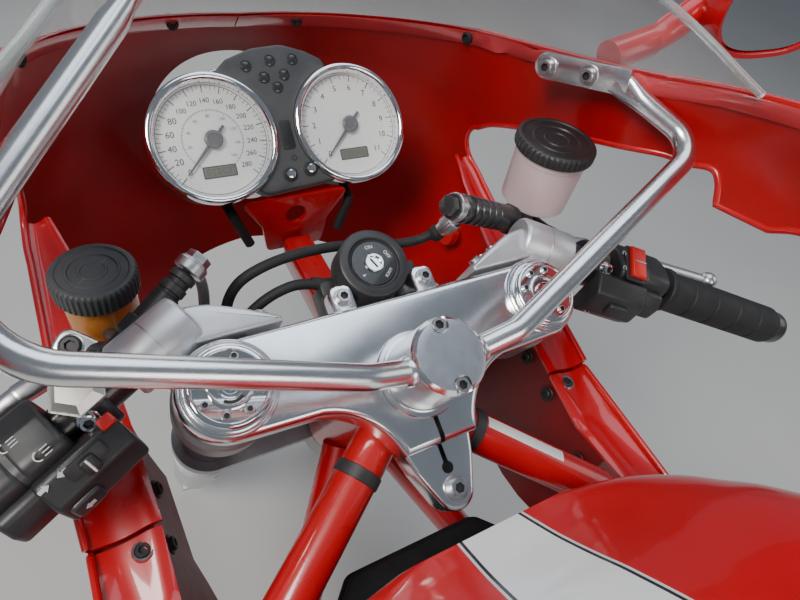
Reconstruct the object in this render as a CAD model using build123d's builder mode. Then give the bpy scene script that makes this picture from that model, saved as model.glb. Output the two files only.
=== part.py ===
from build123d import *
import os
from math import sin, cos, radians

os.makedirs("parts", exist_ok=True)

# ---------------------------------------------------------------- frame and main sizes (mm)
# Row frame: +X the motorcycle's right, +Y forward, +Z up.
# Origin: middle of the rear engine bolt. HEAD is the steering axis at the fork-cap level.
HEAD_Y, HEAD_Z = 330.0, 430.0
RAKE = 24.0
CR, SR = cos(radians(RAKE)), sin(radians(RAKE))

FORK_X, FORK_Y, FORK_R = 105.0, 23.9, 21.5      # fork spacing, offset, tube radius
YOKE_TOP, YOKE_T = -8.1, 24.0                   # top yoke face below the cap tops, thickness
LOW_TOP, LOW_T = -192.0, 34.0                   # bottom yoke
STEM_R, ROD_R = 16.0, 7.5
FORK_END = -560.0                               # end of the slider above the axle clamp
AXLE_Z = -600.0
BOSS_R, BOSS_TOP = 21.7, 37.3
TUBE_R = 14.0                                   # trellis tubes
LUG_X = 118.0                                   # engine lugs


def at(x, y, z):
    """Point given from HEAD, level axes."""
    return Vector(x, y + HEAD_Y, z + HEAD_Z)


def yk(x, y, z):
    """Point given in the yoke's axes: z along the steering axis."""
    return at(x, y * CR - z * SR, y * SR + z * CR)


UP = Vector(0, -SR, CR)
LEVEL = Plane(origin=at(0, 0, 0), x_dir=(1, 0, 0), z_dir=(0, 0, 1))
YOKE = Plane(origin=at(0, 0, 0), x_dir=(1, 0, 0), z_dir=UP)
SIDE = Plane(origin=at(0, 0, 0), x_dir=(0, 1, 0), z_dir=(1, 0, 0))


def rod(p, q, r):
    """Solid round bar between two points."""
    return Solid.make_cylinder(r, (q - p).length, Plane(origin=p, z_dir=q - p))


def mx(v, s):
    return Vector(v.X * s, v.Y, v.Z)


# ---------------------------------------------------------------- steering group
# top yoke: fork clamps, waisted plate, lower split tail, two ears for the lock
with BuildPart() as top_yoke:
    with BuildSketch(YOKE.offset(YOKE_TOP)):
        with BuildLine():
            l1 = Line((FORK_X, 49.6), (-FORK_X, 49.6))
            l2 = Line((-FORK_X, 49.6), (-FORK_X, -4.2))
            l3 = Line((-FORK_X, -4.2), (-62, -5.2))
            l4 = ThreePointArc((-62, -5.2), (-41, -14.9), (-27.3, -33))
            l5 = Line((-27.3, -33), (-24, -42))
            l6 = Line((-24, -42), (24, -42))
            l7 = Line((24, -42), (27.3, -33))
            l8 = ThreePointArc((27.3, -33), (41, -14.9), (62, -5.2))
            l9 = Line((62, -5.2), (FORK_X, -4.2))
            l10 = Line((FORK_X, -4.2), (FORK_X, 49.6))
        make_face()
        with Locations((-FORK_X, FORK_Y), (FORK_X, FORK_Y)):
            Circle(27.5)
    extrude(amount=-YOKE_T)
    with BuildSketch(YOKE.offset(YOKE_TOP - 8.6)):
        with BuildLine():
            Line((-24, -38), (24, -38))
            Line((24, -38), (19.5, -53))
            Line((19.5, -53), (11.5, -73))
            ThreePointArc((11.5, -73), (0, -81), (-11.5, -73))
            Line((-11.5, -73), (-19.5, -53))
            Line((-19.5, -53), (-24, -38))
        make_face()
    extrude(amount=-(YOKE_T - 4))
    with BuildSketch(YOKE.offset(YOKE_TOP - 3)):
        with Locations((-28, 52), (28, 52)):
            SlotOverall(26, 15, rotation=90)
    extrude(amount=-14)
    with Locations(*[Location(YOKE) * Pos(s * FORK_X, FORK_Y, YOKE_TOP + 1.5) for s in (-1, 1)]):
        Cylinder(26.2, 3)
    with Locations(*[Location(YOKE) * Pos(s * FORK_X, FORK_Y, -20) for s in (-1, 1)]):
        Cylinder(FORK_R + 0.1, 60, mode=Mode.SUBTRACT)
    with Locations(Location(YOKE) * Pos(0, 0, -20)):
        Cylinder(STEM_R + 0.1, 60, mode=Mode.SUBTRACT)
    with Locations(Location(YOKE) * Pos(0, -37, -20)):
        Box(3.0, 44, 60, mode=Mode.SUBTRACT)
    with Locations(Location(YOKE) * Pos(0, -56, -20)):
        Cylinder(3.5, 60, mode=Mode.SUBTRACT)
top_yoke.part.label = "top_yoke"
export_step(top_yoke.part, "parts/top_yoke.step")

with BuildPart() as bottom_yoke:
    with BuildSketch(YOKE.offset(LOW_TOP)):
        with Locations((0, 20)):
            Rectangle(2 * FORK_X, 50)
        with Locations((-FORK_X, FORK_Y), (FORK_X, FORK_Y)):
            Circle(29)
        Circle(28)
    extrude(amount=-LOW_T)
    with Locations(*[Location(YOKE) * Pos(s * FORK_X, FORK_Y, LOW_TOP - LOW_T / 2) for s in (-1, 1)]):
        Cylinder(FORK_R + 0.1, 80, mode=Mode.SUBTRACT)
    with Locations(Location(YOKE) * Pos(0, 0, LOW_TOP - LOW_T / 2)):
        Cylinder(STEM_R + 0.1, 80, mode=Mode.SUBTRACT)
bottom_yoke.part.label = "bottom_yoke"
export_step(bottom_yoke.part, "parts/bottom_yoke.step")

with BuildPart() as steering_stem:
    with Locations(Location(YOKE) * Pos(0, 0, (YOKE_TOP + LOW_TOP - LOW_T) / 2)):
        Cylinder(STEM_R, YOKE_TOP - (LOW_TOP - LOW_T))
        Cylinder(ROD_R + 1.5, 400, mode=Mode.SUBTRACT)
steering_stem.part.label = "steering_stem"
export_step(steering_stem.part, "parts/steering_stem.step")

for side, s in (("left", -1), ("right", 1)):
    with BuildPart() as fork_tube:
        with Locations(Location(YOKE) * Pos(s * FORK_X, FORK_Y, (-4 - 420) / 2)):
            Cylinder(FORK_R, 416)
            Cylinder(FORK_R - 3, 500, mode=Mode.SUBTRACT)
    fork_tube.part.label = side + "_fork_tube"
    export_step(fork_tube.part, "parts/" + side + "_fork_tube.step")

    with BuildPart() as fork_cap:
        with Locations(Location(YOKE) * Pos(s * FORK_X, FORK_Y, -2)):
            Cylinder(21.8, 4)
        with Locations(Location(YOKE) * Pos(s * FORK_X, FORK_Y, -10)):
            Cylinder(FORK_R - 3.1, 12)
        with Locations(Location(YOKE) * Pos(s * FORK_X, FORK_Y, 0)):
            Cylinder(12.5, 4, mode=Mode.SUBTRACT)
    fork_cap.part.label = side + "_fork_cap"
    export_step(fork_cap.part, "parts/" + side + "_fork_cap.step")

    with BuildPart() as slider:
        with Locations(Location(YOKE) * Pos(s * FORK_X, FORK_Y, (-330 + FORK_END) / 2)):
            Cylinder(27, -330 - FORK_END)
        with Locations(Location(YOKE) * Pos(s * FORK_X, FORK_Y, -370)):
            Cylinder(FORK_R + 0.1, 104, mode=Mode.SUBTRACT)
        with BuildSketch(SIDE.offset(s * FORK_X - 22)):
            with Locations((FORK_Y * CR - AXLE_Z * SR + 12, FORK_Y * SR + AXLE_Z * CR)):
                Circle(26)
            with Locations((FORK_Y * CR - (AXLE_Z + 30) * SR, FORK_Y * SR + (AXLE_Z + 30) * CR)):
                Rectangle(44, 74, rotation=RAKE)
        extrude(amount=44)
        with BuildSketch(SIDE.offset(s * FORK_X - 30)):
            with Locations((FORK_Y * CR - AXLE_Z * SR + 12, FORK_Y * SR + AXLE_Z * CR)):
                Circle(12.5)
        extrude(amount=60, mode=Mode.SUBTRACT)
    slider.part.label = side + "_fork_slider"
    export_step(slider.part, "parts/" + side + "_fork_slider.step")

# lock barrel in front of the yoke
with BuildPart() as ignition:
    with Locations(Location(YOKE) * Pos(0, 74, -22)):
        Cylinder(23, 22)
    with Locations(Location(YOKE) * Pos(0, 74, -50)):
        Cylinder(17, 34)
    with Locations(Location(YOKE) * Pos(0, 74, -11)):
        Cylinder(15, 4, mode=Mode.SUBTRACT)
ignition.part.label = "ignition_switch"
export_step(ignition.part, "parts/ignition_switch.step")

# clip-on handlebars: fork clamp, riser, bar clamp, bar, grip, switchgear
BAR_IN, BAR_OUT = Vector(125, 66, 8), Vector(340, -33, -56)
BAR_DIR = (BAR_OUT - BAR_IN).normalized()
BAR_LEN = (BAR_OUT - BAR_IN).length


def onbar(k, s):
    v = BAR_IN + BAR_DIR * (BAR_LEN * k)
    return at(v.X * s, v.Y, v.Z)


for side, s in (("left", -1), ("right", 1)):
    with BuildPart() as clipon:
        with Locations(Location(YOKE) * Pos(s * FORK_X, FORK_Y, -54)):
            Cylinder(29, 34)
        with BuildSketch(YOKE.offset(-37)):
            with BuildLine():
                Polyline((s * 80, 42), (s * 131, 42), (s * 131, 60), (s * 118, 71), (s * 104, 71), (s * 80, 60), close=True)
            make_face()
        extrude(amount=-34)
        with BuildSketch(YOKE.offset(-10)):
            with BuildLine():
                Line((s * 66, 52.6), (s * 66, 56))
                Line((s * 66, 56), (s * 84, 65))
                Line((s * 84, 65), (s * 104, 72.6))
                ThreePointArc((s * 104, 72.6), (s * 121, 72.6), (s * 131.5, 61))
                Line((s * 131.5, 61), (s * 130, 52.6))
                Line((s * 130, 52.6), (s * 66, 52.6))
            make_face()
        extrude(amount=-28)
        add(rod(onbar(-0.05, s), onbar(0.12, s), 16.5))
        with Locations(Location(YOKE) * Pos(s * FORK_X, FORK_Y, -20)):
            Cylinder(28.0, 30, mode=Mode.SUBTRACT)
        with Locations(Location(YOKE) * Pos(s * FORK_X, FORK_Y, -54)):
            Cylinder(FORK_R + 0.1, 120, mode=Mode.SUBTRACT)
        add(rod(onbar(-0.3, s), onbar(0.3, s), 11.1), mode=Mode.SUBTRACT)
    clipon.part.label = side + "_clip_on"
    export_step(clipon.part, "parts/" + side + "_clip_on.step")

    with BuildPart() as bar:
        add(rod(onbar(-0.04, s), onbar(1.002, s), 11.0))
        add(rod(onbar(1.002, s), onbar(1.06, s), 14.0))
        add(rod(onbar(-0.1, s), onbar(1.04, s), 8.0), mode=Mode.SUBTRACT)
    bar.part.label = side + "_handlebar"
    export_step(bar.part, "parts/" + side + "_handlebar.step")

    with BuildPart() as grip:
        add(rod(onbar(0.5, s), onbar(1.0, s), 16.0))
        add(rod(onbar(0.4, s), onbar(1.1, s), 11.1), mode=Mode.SUBTRACT)
    grip.part.label = side + "_grip"
    export_step(grip.part, "parts/" + side + "_grip.step")

    along = onbar(1, s) - onbar(0, s)
    raised = Vector(0, 0, 1) - along.normalized() * along.normalized().Z
    with BuildPart() as switchgear:
        add(rod(onbar(0.27, s), onbar(0.46, s), 21.0))
        # wing of the housing on the rider's side, reaching inwards past the lever's clamp
        with BuildSketch(Plane(origin=onbar(0.19, s), x_dir=raised, z_dir=along)):
            Polygon((-22, s * 18.5), (10, s * 18.5), (13, s * 24), (4, s * 36), (-14, s * 36), (-24, s * 27), align=None)
        extrude(amount=0.18 * along.length)
        add(rod(onbar(0.1, s), onbar(0.6, s), 11.1), mode=Mode.SUBTRACT)
    switchgear.part.label = side + "_switchgear"
    export_step(switchgear.part, "parts/" + side + "_switchgear.step")

# fluid parts of the controls, yoke axes
#            side, s, cylinder start, cylinder end, radius, cap centre (level axes), cap r, cap h, cup r, cup h, foot
HYDRAULICS = (("left", -1, (-108, 94, -16), (-146, 66, -24), 7.5, (-153, 119, 15), 23.5, 14.5, 20.5, 27.5, (-153, 98.0, -18)),
              ("right", 1, (72, 97, -8), (146, 88, -41), 10.0, (153, 104, 68), 29.5, 9.0, 26.5, 45.0, (153, 104, 13.9)))
for side, s, c0, c1, cr, cap, cap_r, cap_h, cup_r, cup_h, foot in HYDRAULICS:
    with BuildPart() as master:
        add(rod(yk(*c0), yk(*c1), cr))
        add(rod(yk(*c1), yk(s * 172, 44, -26), 8.0))
        add(rod(onbar(0.175, s), onbar(0.245, s), 17.0))
        add(rod(yk(*c1), at(*foot), 4.0))
        add(rod(onbar(0.05, s), onbar(0.40, s), 11.1), mode=Mode.SUBTRACT)
        add(rod(onbar(-0.05, s), onbar(0.125, s), 16.9), mode=Mode.SUBTRACT)
        with Locations(Location(at(cap[0], cap[1], cap[2] - cap_h / 2))):
            Cylinder(cap_r + 0.3, cap_h + 0.4, mode=Mode.SUBTRACT)
        with Locations(Location(at(cap[0], cap[1], cap[2] - cap_h - cup_h / 2))):
            Cylinder(cup_r + 0.2, cup_h + 0.2, mode=Mode.SUBTRACT)
    master.part.label = side + "_master_cylinder"
    export_step(master.part, "parts/" + side + "_master_cylinder.step")

    with BuildPart() as lever:
        L0, L1, L2 = yk(s * 169, 74, -54), yk(s * 204, 58, -48), yk(s * 322, 0, -54)
        with BuildLine():
            path = FilletPolyline(L0, L1, L2, radius=25)
        with BuildSketch(Plane(origin=path @ 0, z_dir=path % 0)):
            Circle(5.5)
        sweep()
        with Locations(Location(L2)):
            Sphere(8.0, rotation=(20, 90, 10))
    lever.part.label = side + "_lever"
    export_step(lever.part, "parts/" + side + "_lever.step")

    with BuildPart() as cup:
        with BuildSketch(LEVEL.offset(cap[2] - cap_h)):
            with Locations((cap[0], cap[1])):
                Circle(cup_r)
        extrude(amount=-cup_h, taper=2.0)
    cup.part.label = side + "_reservoir"
    export_step(cup.part, "parts/" + side + "_reservoir.step")

    with BuildPart() as lid:
        with BuildSketch(LEVEL.offset(cap[2])):
            with Locations((cap[0], cap[1])):
                Circle(cap_r)
        extrude(amount=-cap_h)
    lid.part.label = side + "_reservoir_cap"
    export_step(lid.part, "parts/" + side + "_reservoir_cap.step")

# junction block on the bottom yoke, with three ports
JOIN_Y, JOIN_Z, PORT_H = 36.0, LOW_TOP + 12.0, 12.0
with BuildPart() as junction:
    with Locations(Location(YOKE) * Pos(-48, JOIN_Y, LOW_TOP + 6)):
        Box(58, 14, 12)
    for x in (-68, -48, -28):
        add(rod(yk(x, JOIN_Y, JOIN_Z - 2), yk(x, JOIN_Y, JOIN_Z + PORT_H), 6.0))
junction.part.label = "hose_junction"
export_step(junction.part, "parts/hose_junction.step")

# hoses of the steering side, each a run of straight lines and tangent arcs from fitting to port, level axes
HOSES = (("brake_hose", 3.5, ((75, 96, 18), (66, 103, 0), (46, 108, -8), (18, 110, -3), (-11, 109, 4), (-40, 108, 5), (-64, 106, 1),
                              (-80, 104, -8), (-87, 103, -32), (-80, 100, -68), (-62, 95, -99))),
         ("clutch_hose", 3.5, ((-104, 110, 18), (-99, 112, 4), (-96, 111, -10), (-97, 111, -34), (-98, 112, -66), (-88, 109, -98))),
         ("ignition_cable", 3.5, ((-21, 87, -9), (-38, 93, -6), (-56, 93, -10), (-69, 92, -18), (-80, 91, -30), (-79, 89, -52), (-62, 85, -80), (-38, 87, -105))))
PORTS = {"brake_hose": -48, "clutch_hose": -68, "ignition_cable": -28}
for name, r, pts in HOSES:
    x = PORTS[name]
    run = [at(*p) for p in pts] + [yk(x, JOIN_Y, JOIN_Z + PORT_H + 20), yk(x, JOIN_Y, JOIN_Z + PORT_H)]
    edges, last = [], run[0]
    for i in range(1, len(run) - 1):
        d0, d1 = (run[i] - run[i - 1]), (run[i + 1] - run[i])
        turn = radians(d0.get_angle(d1))
        cut = 0.45 * min(d0.length, d1.length)
        p, q = run[i] - d0.normalized() * cut, run[i] + d1.normalized() * cut
        edges += [Edge.make_line(last, p), Edge.make_tangent_arc(p, d0, q)]
        last = q
    edges.append(Edge.make_line(last, run[-1]))
    with BuildPart() as hose:
        with BuildSketch(Plane(origin=run[0], z_dir=run[1] - run[0])):
            Circle(r)
        sweep(path=Wire(edges))
    hose.part.label = name
    export_step(hose.part, "parts/" + name + ".step")

# ---------------------------------------------------------------- frame side
with BuildPart() as head_tube:
    add(rod(yk(0, 0, YOKE_TOP - YOKE_T - 6), yk(0, 0, LOW_TOP + 6), 29))
    add(rod(yk(0, 0, 20), yk(0, 0, -220), STEM_R + 0.6), mode=Mode.SUBTRACT)
head_tube.part.label = "head_tube"
export_step(head_tube.part, "parts/head_tube.step")

for side, s in (("left", -1), ("right", 1)):
    U0, U1, U2 = yk(s * 16, -20, -50), at(s * 125, -79, -102), at(s * LUG_X, -240, -250)
    L0, L1, L2 = yk(s * 16, -20, -160), at(s * 118, -90, -300), at(s * LUG_X, -300, -400)
    with BuildPart() as rails:
        for p, q, r in ((U0, U1, TUBE_R), (U1, U2, TUBE_R), (U2, L2, TUBE_R), (L0, L1, TUBE_R), (L1, L2, TUBE_R),
                        (U1, L1, 11.0), (L1, U2, 11.0)):
            add(rod(p, q, r))
        for p in (U1, U2, L1, L2):
            with Locations(Location(p)):
                Sphere(TUBE_R)
        with BuildSketch(SIDE.offset(s * LUG_X - 12)):
            with Locations((-HEAD_Y, -HEAD_Z)):
                Circle(24)
            with Locations((-HEAD_Y + 16, -HEAD_Z + 16)):
                Rectangle(40, 40, rotation=45)
            with Locations((-98, -326)):
                Circle(20)
        extrude(amount=24)
        with BuildSketch(SIDE.offset(-200)):
            with Locations((-HEAD_Y, -HEAD_Z), (-98, -326)):
                Circle(6.2)
        extrude(amount=400, mode=Mode.SUBTRACT)
        add(rod(yk(0, 0, 20), yk(0, 0, -260), 29.05), mode=Mode.SUBTRACT)
    rails.part.label = side + "_frame"
    export_step(rails.part, "parts/" + side + "_frame.step")

with BuildPart() as cross_bar:
    add(rod(at(-LUG_X + 14.1, -240, -250), at(LUG_X - 14.1, -240, -250), 11.0))
cross_bar.part.label = "frame_crossbar"
export_step(cross_bar.part, "parts/frame_crossbar.step")

with BuildPart() as stem_boss:
    with Locations(Location(YOKE) * Pos(0, 0, (BOSS_TOP - 5.0) / 2)):
        Cylinder(BOSS_R, BOSS_TOP + 5.0)
    add(rod(yk(0, 0, 0), yk(0, 0, LOW_TOP - LOW_T - 12), ROD_R))
stem_boss.part.label = "stem_boss"
export_step(stem_boss.part, "parts/stem_boss.step")

# stays from the boss to the fairing: tube with one bend, then a flat end plate with two bolt slots
STAY_R = 6.9
#       side, s, first bend, outer corner, neck, tip of the plate, bend radius, width direction of the plate
STAY = (("left", -1, (46, -13, 33), (219, 19.9, 85), (103, 157, 148), (110, 198, 142), 38, (0.68, 0.1, 0.72)),
        ("right", 1, (46, -13, 33), (203, 36, 97), (170, 92, 116), (151, 137, 105), 19, (0.1, 0, 1)))
for side, s, b0, corner, neck, tip, bend_r, wide in STAY:
    B0, B1, B2, B3 = at(s * b0[0], b0[1], b0[2]), at(s * corner[0], corner[1], corner[2]), at(s * neck[0], neck[1], neck[2]), at(s * tip[0], tip[1], tip[2])
    with BuildPart() as stay:
        with BuildLine():
            path = FilletPolyline(yk(s * 20, -1, 27), B0, B1, B2, radius=bend_r)
        with BuildSketch(Plane(origin=path @ 0, z_dir=path % 0)):
            Circle(STAY_R)
        sweep()
        with Locations(Location(YOKE) * Pos(0, 0, 20)):
            Cylinder(BOSS_R + 0.05, 60, mode=Mode.SUBTRACT)
        end = Plane(origin=B2, x_dir=B3 - B2, z_dir=(B3 - B2).cross(Vector(wide[0] if s < 0 else 0.1 * s, wide[1], wide[2])))
        with BuildSketch(end.offset(-2.5)):
            with Locations(((B3 - B2).length / 2, 0)):
                SlotOverall((B3 - B2).length + 20, 17)
            with Locations((18, 0), ((B3 - B2).length - 2, 0)):
                SlotOverall(11, 6.5, mode=Mode.SUBTRACT)
        extrude(amount=5)
    stay.part.label = side + "_fairing_stay"
    export_step(stay.part, "parts/" + side + "_fairing_stay.step")

# fuel tank
#       y, half width, top, bottom
TANK = ((-86, 60, -30, -64), (-94, 98, -24, -86), (-108, 126, -13, -104), (-124, 141, 2, -116), (-140, 152, 18, -124), (-170, 162, 43, -132), (-200, 166, 57, -138), (-300, 166, 58, -140),
        (-400, 142, 48, -140), (-480, 108, 20, -130), (-560, 62, -24, -112))
with BuildPart() as tank:
    for y, w, top, bot in TANK:
        with BuildSketch(Plane(origin=at(0, y, 0), x_dir=(1, 0, 0), z_dir=(0, -1, 0))):
            with BuildLine():
                Polyline((w, (top + bot) / 2), (w * 0.86, bot), (-w * 0.86, bot), (-w, (top + bot) / 2))
                ThreePointArc((-w, (top + bot) / 2), (-w * 0.955, top - (top - bot) * 0.14), (-w * 0.8, top - (top - bot) * 0.01))
                ThreePointArc((-w * 0.8, top - (top - bot) * 0.01), (0, top), (w * 0.8, top - (top - bot) * 0.01))
                ThreePointArc((w * 0.8, top - (top - bot) * 0.01), (w * 0.955, top - (top - bot) * 0.14), (w, (top + bot) / 2))
            make_face()
    loft(ruled=True)
    with Locations(Location(at(0, -250, 40))):
        Cylinder(38, 60, mode=Mode.SUBTRACT)
    with Locations(Location(at(0, -209, 66))):
        Box(36, 16, 24, mode=Mode.SUBTRACT)
tank.part.label = "fuel_tank"
export_step(tank.part, "parts/fuel_tank.step")

with BuildPart() as filler_ring:
    with Locations(Location(at(0, -250, 36))):
        Cylinder(37.8, 44)
        Cylinder(24, 60, mode=Mode.SUBTRACT)
    for s in (-1, 1):
        with Locations(Location(at(s * 12.5, -211, 59.25))):
            Box(7, 8, 7.5)
        add(rod(at(s * 9, -210, 62.5), at(s * 16, -210, 62.5), 4.0))
filler_ring.part.label = "filler_ring"
export_step(filler_ring.part, "parts/filler_ring.step")

with BuildPart() as filler_cap:
    with Locations(Location(at(0, -250, 62.5))):
        Cylinder(36, 8)
    with Locations(Location(at(0, -214, 62.5))):
        Box(16, 8, 6)
    add(rod(at(-8, -210, 62.5), at(8, -210, 62.5), 4.0))
filler_cap.part.label = "filler_cap"
export_step(filler_cap.part, "parts/filler_cap.step")

with BuildPart() as airbox:
    with Locations(Location(at(0, -160, -170))):
        Box(150, 230, 56)
airbox.part.label = "airbox"
export_step(airbox.part, "parts/airbox.step")

# gauges
GA = 46.0
GN = Vector(0, -sin(radians(GA)), cos(radians(GA)))
GAUGE = Plane(origin=at(0, 225.5, 19.8), x_dir=(1, 0, 0), z_dir=GN)
for name, x in (("speedometer", -55.1), ("tachometer", 55.1)):
    with BuildPart() as gauge:
        with Locations(Location(GAUGE) * Pos(x, 0, -27)):
            Cylinder(44, 46)
    gauge.part.label = name
    export_step(gauge.part, "parts/" + name + ".step")
    with BuildPart() as bezel:
        with Locations(Location(GAUGE) * Pos(x, 0, -4)):
            Cylinder(47.5, 8)
            Cylinder(41, 20, mode=Mode.SUBTRACT)
        with Locations(Location(GAUGE) * Pos(x, 0, -9)):
            Cylinder(47.5, 10)
            Cylinder(44.1, 20, mode=Mode.SUBTRACT)
    bezel.part.label = name + "_bezel"
    export_step(bezel.part, "parts/" + name + "_bezel.step")

with BuildPart() as instrument_panel:
    with BuildSketch(GAUGE.offset(-4)):
        with BuildLine():
            Polyline((-47, 45), (-34, 56), (-14, 63), (10, 65), (29, 59), (42, 52), (46, 30), (46, -24), (36, -42), (-24, -46),
                     (-46, -30), (-50, 30), close=True)
        make_face()
        with Locations((-55.1, 0), (55.1, 0)):
            Circle(47.8, mode=Mode.SUBTRACT)
    extrude(amount=-18)
instrument_panel.part.label = "instrument_panel"
export_step(instrument_panel.part, "parts/instrument_panel.step")

# bracket for gauges and fairing: arm from the head tube, cross tube, plate with a hole, two lamp arms
with BuildPart() as bracket:
    add(rod(at(-70, 196, -74), at(70, 196, -74), 10.0))
    for s in (-1, 1):
        add(rod(at(s * 70, 196, -74), at(s * 168, 196, -104), 10.0))
        add(rod(at(s * 60, 196, -74), at(s * 50, 284, -90), 8.0))
        with Locations(Location(at(s * 70, 196, -74))):
            Sphere(10.0)
    with Locations(Location(at(0, 122, -76))):
        Box(24, 150, 26)
    with BuildSketch(Plane(origin=at(0, 204, 0), x_dir=(1, 0, 0), z_dir=(0, -1, 0))):
        with BuildLine():
            Polyline((-46, -24), (46, -24), (28, -52), (24, -78), (-24, -78), (-28, -52), close=True)
        make_face()
        with Locations((0, -43)):
            Circle(9, mode=Mode.SUBTRACT)
    extrude(amount=4)
    add(rod(yk(0, 0, 20), yk(0, 0, -220), 29.05), mode=Mode.SUBTRACT)
bracket.part.label = "fairing_bracket"
export_step(bracket.part, "parts/fairing_bracket.step")

# fairing: U-shaped shell lofted through level sections
FAIR_T = 3.5
#        z, (half width, y) at rear, knee, middle, shoulder, then nose y
SECT = ((-190, (160, 18), (158, 60), (155, 110), (146, 165), 345),
        (-100, (195.6, -90), (197.2, 36), (195.8, 100), (188, 185), 405),
        (-50, (195.8, -80), (197.4, 36), (196.0, 100), (193, 195), 422),
        (0, (202, -70), (199, 36), (197, 100), (186, 215), 398),
        (60, (222, -64), (210, 36), (190, 100), (173, 235), 346),
        (100, (228, -60), (217, 36), (182, 98), (166, 240), 300),
        (165, (206, -58), (198, 36), (174, 98), (150, 215), 232))


def u_ring(rear, knee, mid, sh, yn, t):
    m = 0.70
    out = (rear, knee, mid, sh)
    inn = [(x - t, y) for x, y in out]
    with BuildLine() as line:
        for (x0, y0), (x1, y1) in zip(out[:-1], out[1:]):
            Line((-x0, y0), (-x1, y1))
        for q, n, d in ((out, yn, 1), (inn, yn - t, -1)):
            w, y = q[3]
            ThreePointArc((-d * w, y), (-d * w * m, y + (n - y) * 0.72), (0, n))
            ThreePointArc((0, n), (d * w * m, y + (n - y) * 0.72), (d * w, y))
            for (x0, y0), (x1, y1) in zip(q[:0:-1], q[-2::-1]):
                if d == 1:
                    Line((x0, y0), (x1, y1))
            if d == 1:
                Line(q[0], inn[0])
                for (x0, y0), (x1, y1) in zip(inn[:-1], inn[1:]):
                    Line((x0, y0), (x1, y1))
        for (x0, y0), (x1, y1) in zip(inn[:0:-1], inn[-2::-1]):
            Line((-x0, y0), (-x1, y1))
        Line((-inn[0][0], inn[0][1]), (-rear[0], rear[1]))
    return make_face(line.line.edges())


def y_plane(y):
    """Upright plane across the machine, local axes x and z."""
    return Plane(origin=at(0, y, 0), x_dir=(1, 0, 0), z_dir=(0, -1, 0))


RIM = Plane(origin=at(0, 0, 147), x_dir=(1, 0, 0), z_dir=(0, 0.26, 1))
# shelf along the lower edge of the hand opening: y, outer x, outer z, inner x, inner z
LIP = ((15, 195, -104, 152, -99), (70, 195, -90, 155, -85), (147, 194, -69.5, 160, -60), (200, 190, -49, 165, -42), (230, 181, -35, 172, -34))
LIP_T = 3.5
with BuildPart() as fairing:
    for z, rear, knee, mid, sh, yn in SECT:
        with BuildSketch(LEVEL.offset(z)):
            u_ring(rear, knee, mid, sh, yn, FAIR_T)
    loft(ruled=True)
    with BuildSketch(RIM):
        with Locations((0, 150)):
            Rectangle(600, 800)
    extrude(amount=300, mode=Mode.SUBTRACT)
    with BuildSketch(SIDE.offset(-300)):
        with BuildLine():
            Polyline((-120, 95), (-60, 90), (-39, 84), (-25, 75), (9, 69), (20, 84), (26, 86), (41, 80), (61, 78), (109, 61), (160, 38), (202, 17), (222, 2))
            ThreePointArc((222, 2), (236, -18), (226, -36))
            Polyline((226, -36), (200, -46), (147, -66), (70, -86.5), (15, -100.5), (15, -114), (300, -191), (300, -300), (-120, -300), (-120, 95))
        make_face()
    extrude(amount=600, mode=Mode.SUBTRACT)
    with BuildSketch(SIDE.offset(-300)):
        with BuildLine():
            Polyline((-12, 170), (-16, 145), (-70, 84), (-140, 84), (-140, 170), close=True)
        make_face()
    extrude(amount=600, mode=Mode.SUBTRACT)
    with Locations(Location(at(0, 400, -70)) * Rot(90, 0, 0)):
        Cylinder(74, 160, mode=Mode.SUBTRACT)
    for s in (-1, 1):
        for (y0, xo0, zo0, xi0, zi0), (y1, xo1, zo1, xi1, zi1) in zip(LIP[:-1], LIP[1:]):
            for y, xo, zo, xi, zi in ((y0, xo0, zo0, xi0, zi0), (y1, xo1, zo1, xi1, zi1)):
                with BuildSketch(y_plane(y)):
                    with BuildLine():
                        Polyline((s * xo, zo), (s * xi, zi), (s * xi, zi + LIP_T), (s * xo, zo + LIP_T), close=True)
                    make_face()
            loft(ruled=True)
fairing.part.label = "upper_fairing"
export_step(fairing.part, "parts/upper_fairing.step")

# screen: U-shaped sheet leaning in, on the rim plane
#         height, (half width, y) at rear, knee, middle, shoulder, then front y
SCREEN = ((1, (200, 18), (196, 38), (176, 100), (158, 238), 347),
          (40, (150, 50), (148, 68), (140, 106), (132, 196), 290),
          (72, (114, 100), (112, 112), (107, 134), (101, 178), 236),
          (100, (82, 150), (79, 153), (74, 157), (66, 163), 178))
with BuildPart() as screen:
    for h, rear, knee, mid, sh, yn in SCREEN:
        with BuildSketch(RIM.offset(h)):
            u_ring(rear, knee, mid, sh, yn, 3.0)
    loft(ruled=True)
screen.part.label = "windscreen"
export_step(screen.part, "parts/windscreen.step")

with BuildPart() as headlight:
    with Locations(Location(at(0, 325, -70)) * Rot(90, 0, 0)):
        Cylinder(70, 70)
headlight.part.label = "headlight"
export_step(headlight.part, "parts/headlight.step")

with BuildPart() as lens:
    with BuildSketch(Plane(origin=at(0, 361, -70), x_dir=(1, 0, 0), z_dir=(0, 1, 0))):
        Circle(70)
    extrude(amount=10)
    with BuildSketch(Plane(origin=at(0, 371, -70), x_dir=(1, 0, 0), z_dir=(0, 1, 0))):
        Circle(70)
    extrude(amount=14, taper=40)
lens.part.label = "headlight_lens"
export_step(lens.part, "parts/headlight_lens.step")

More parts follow.
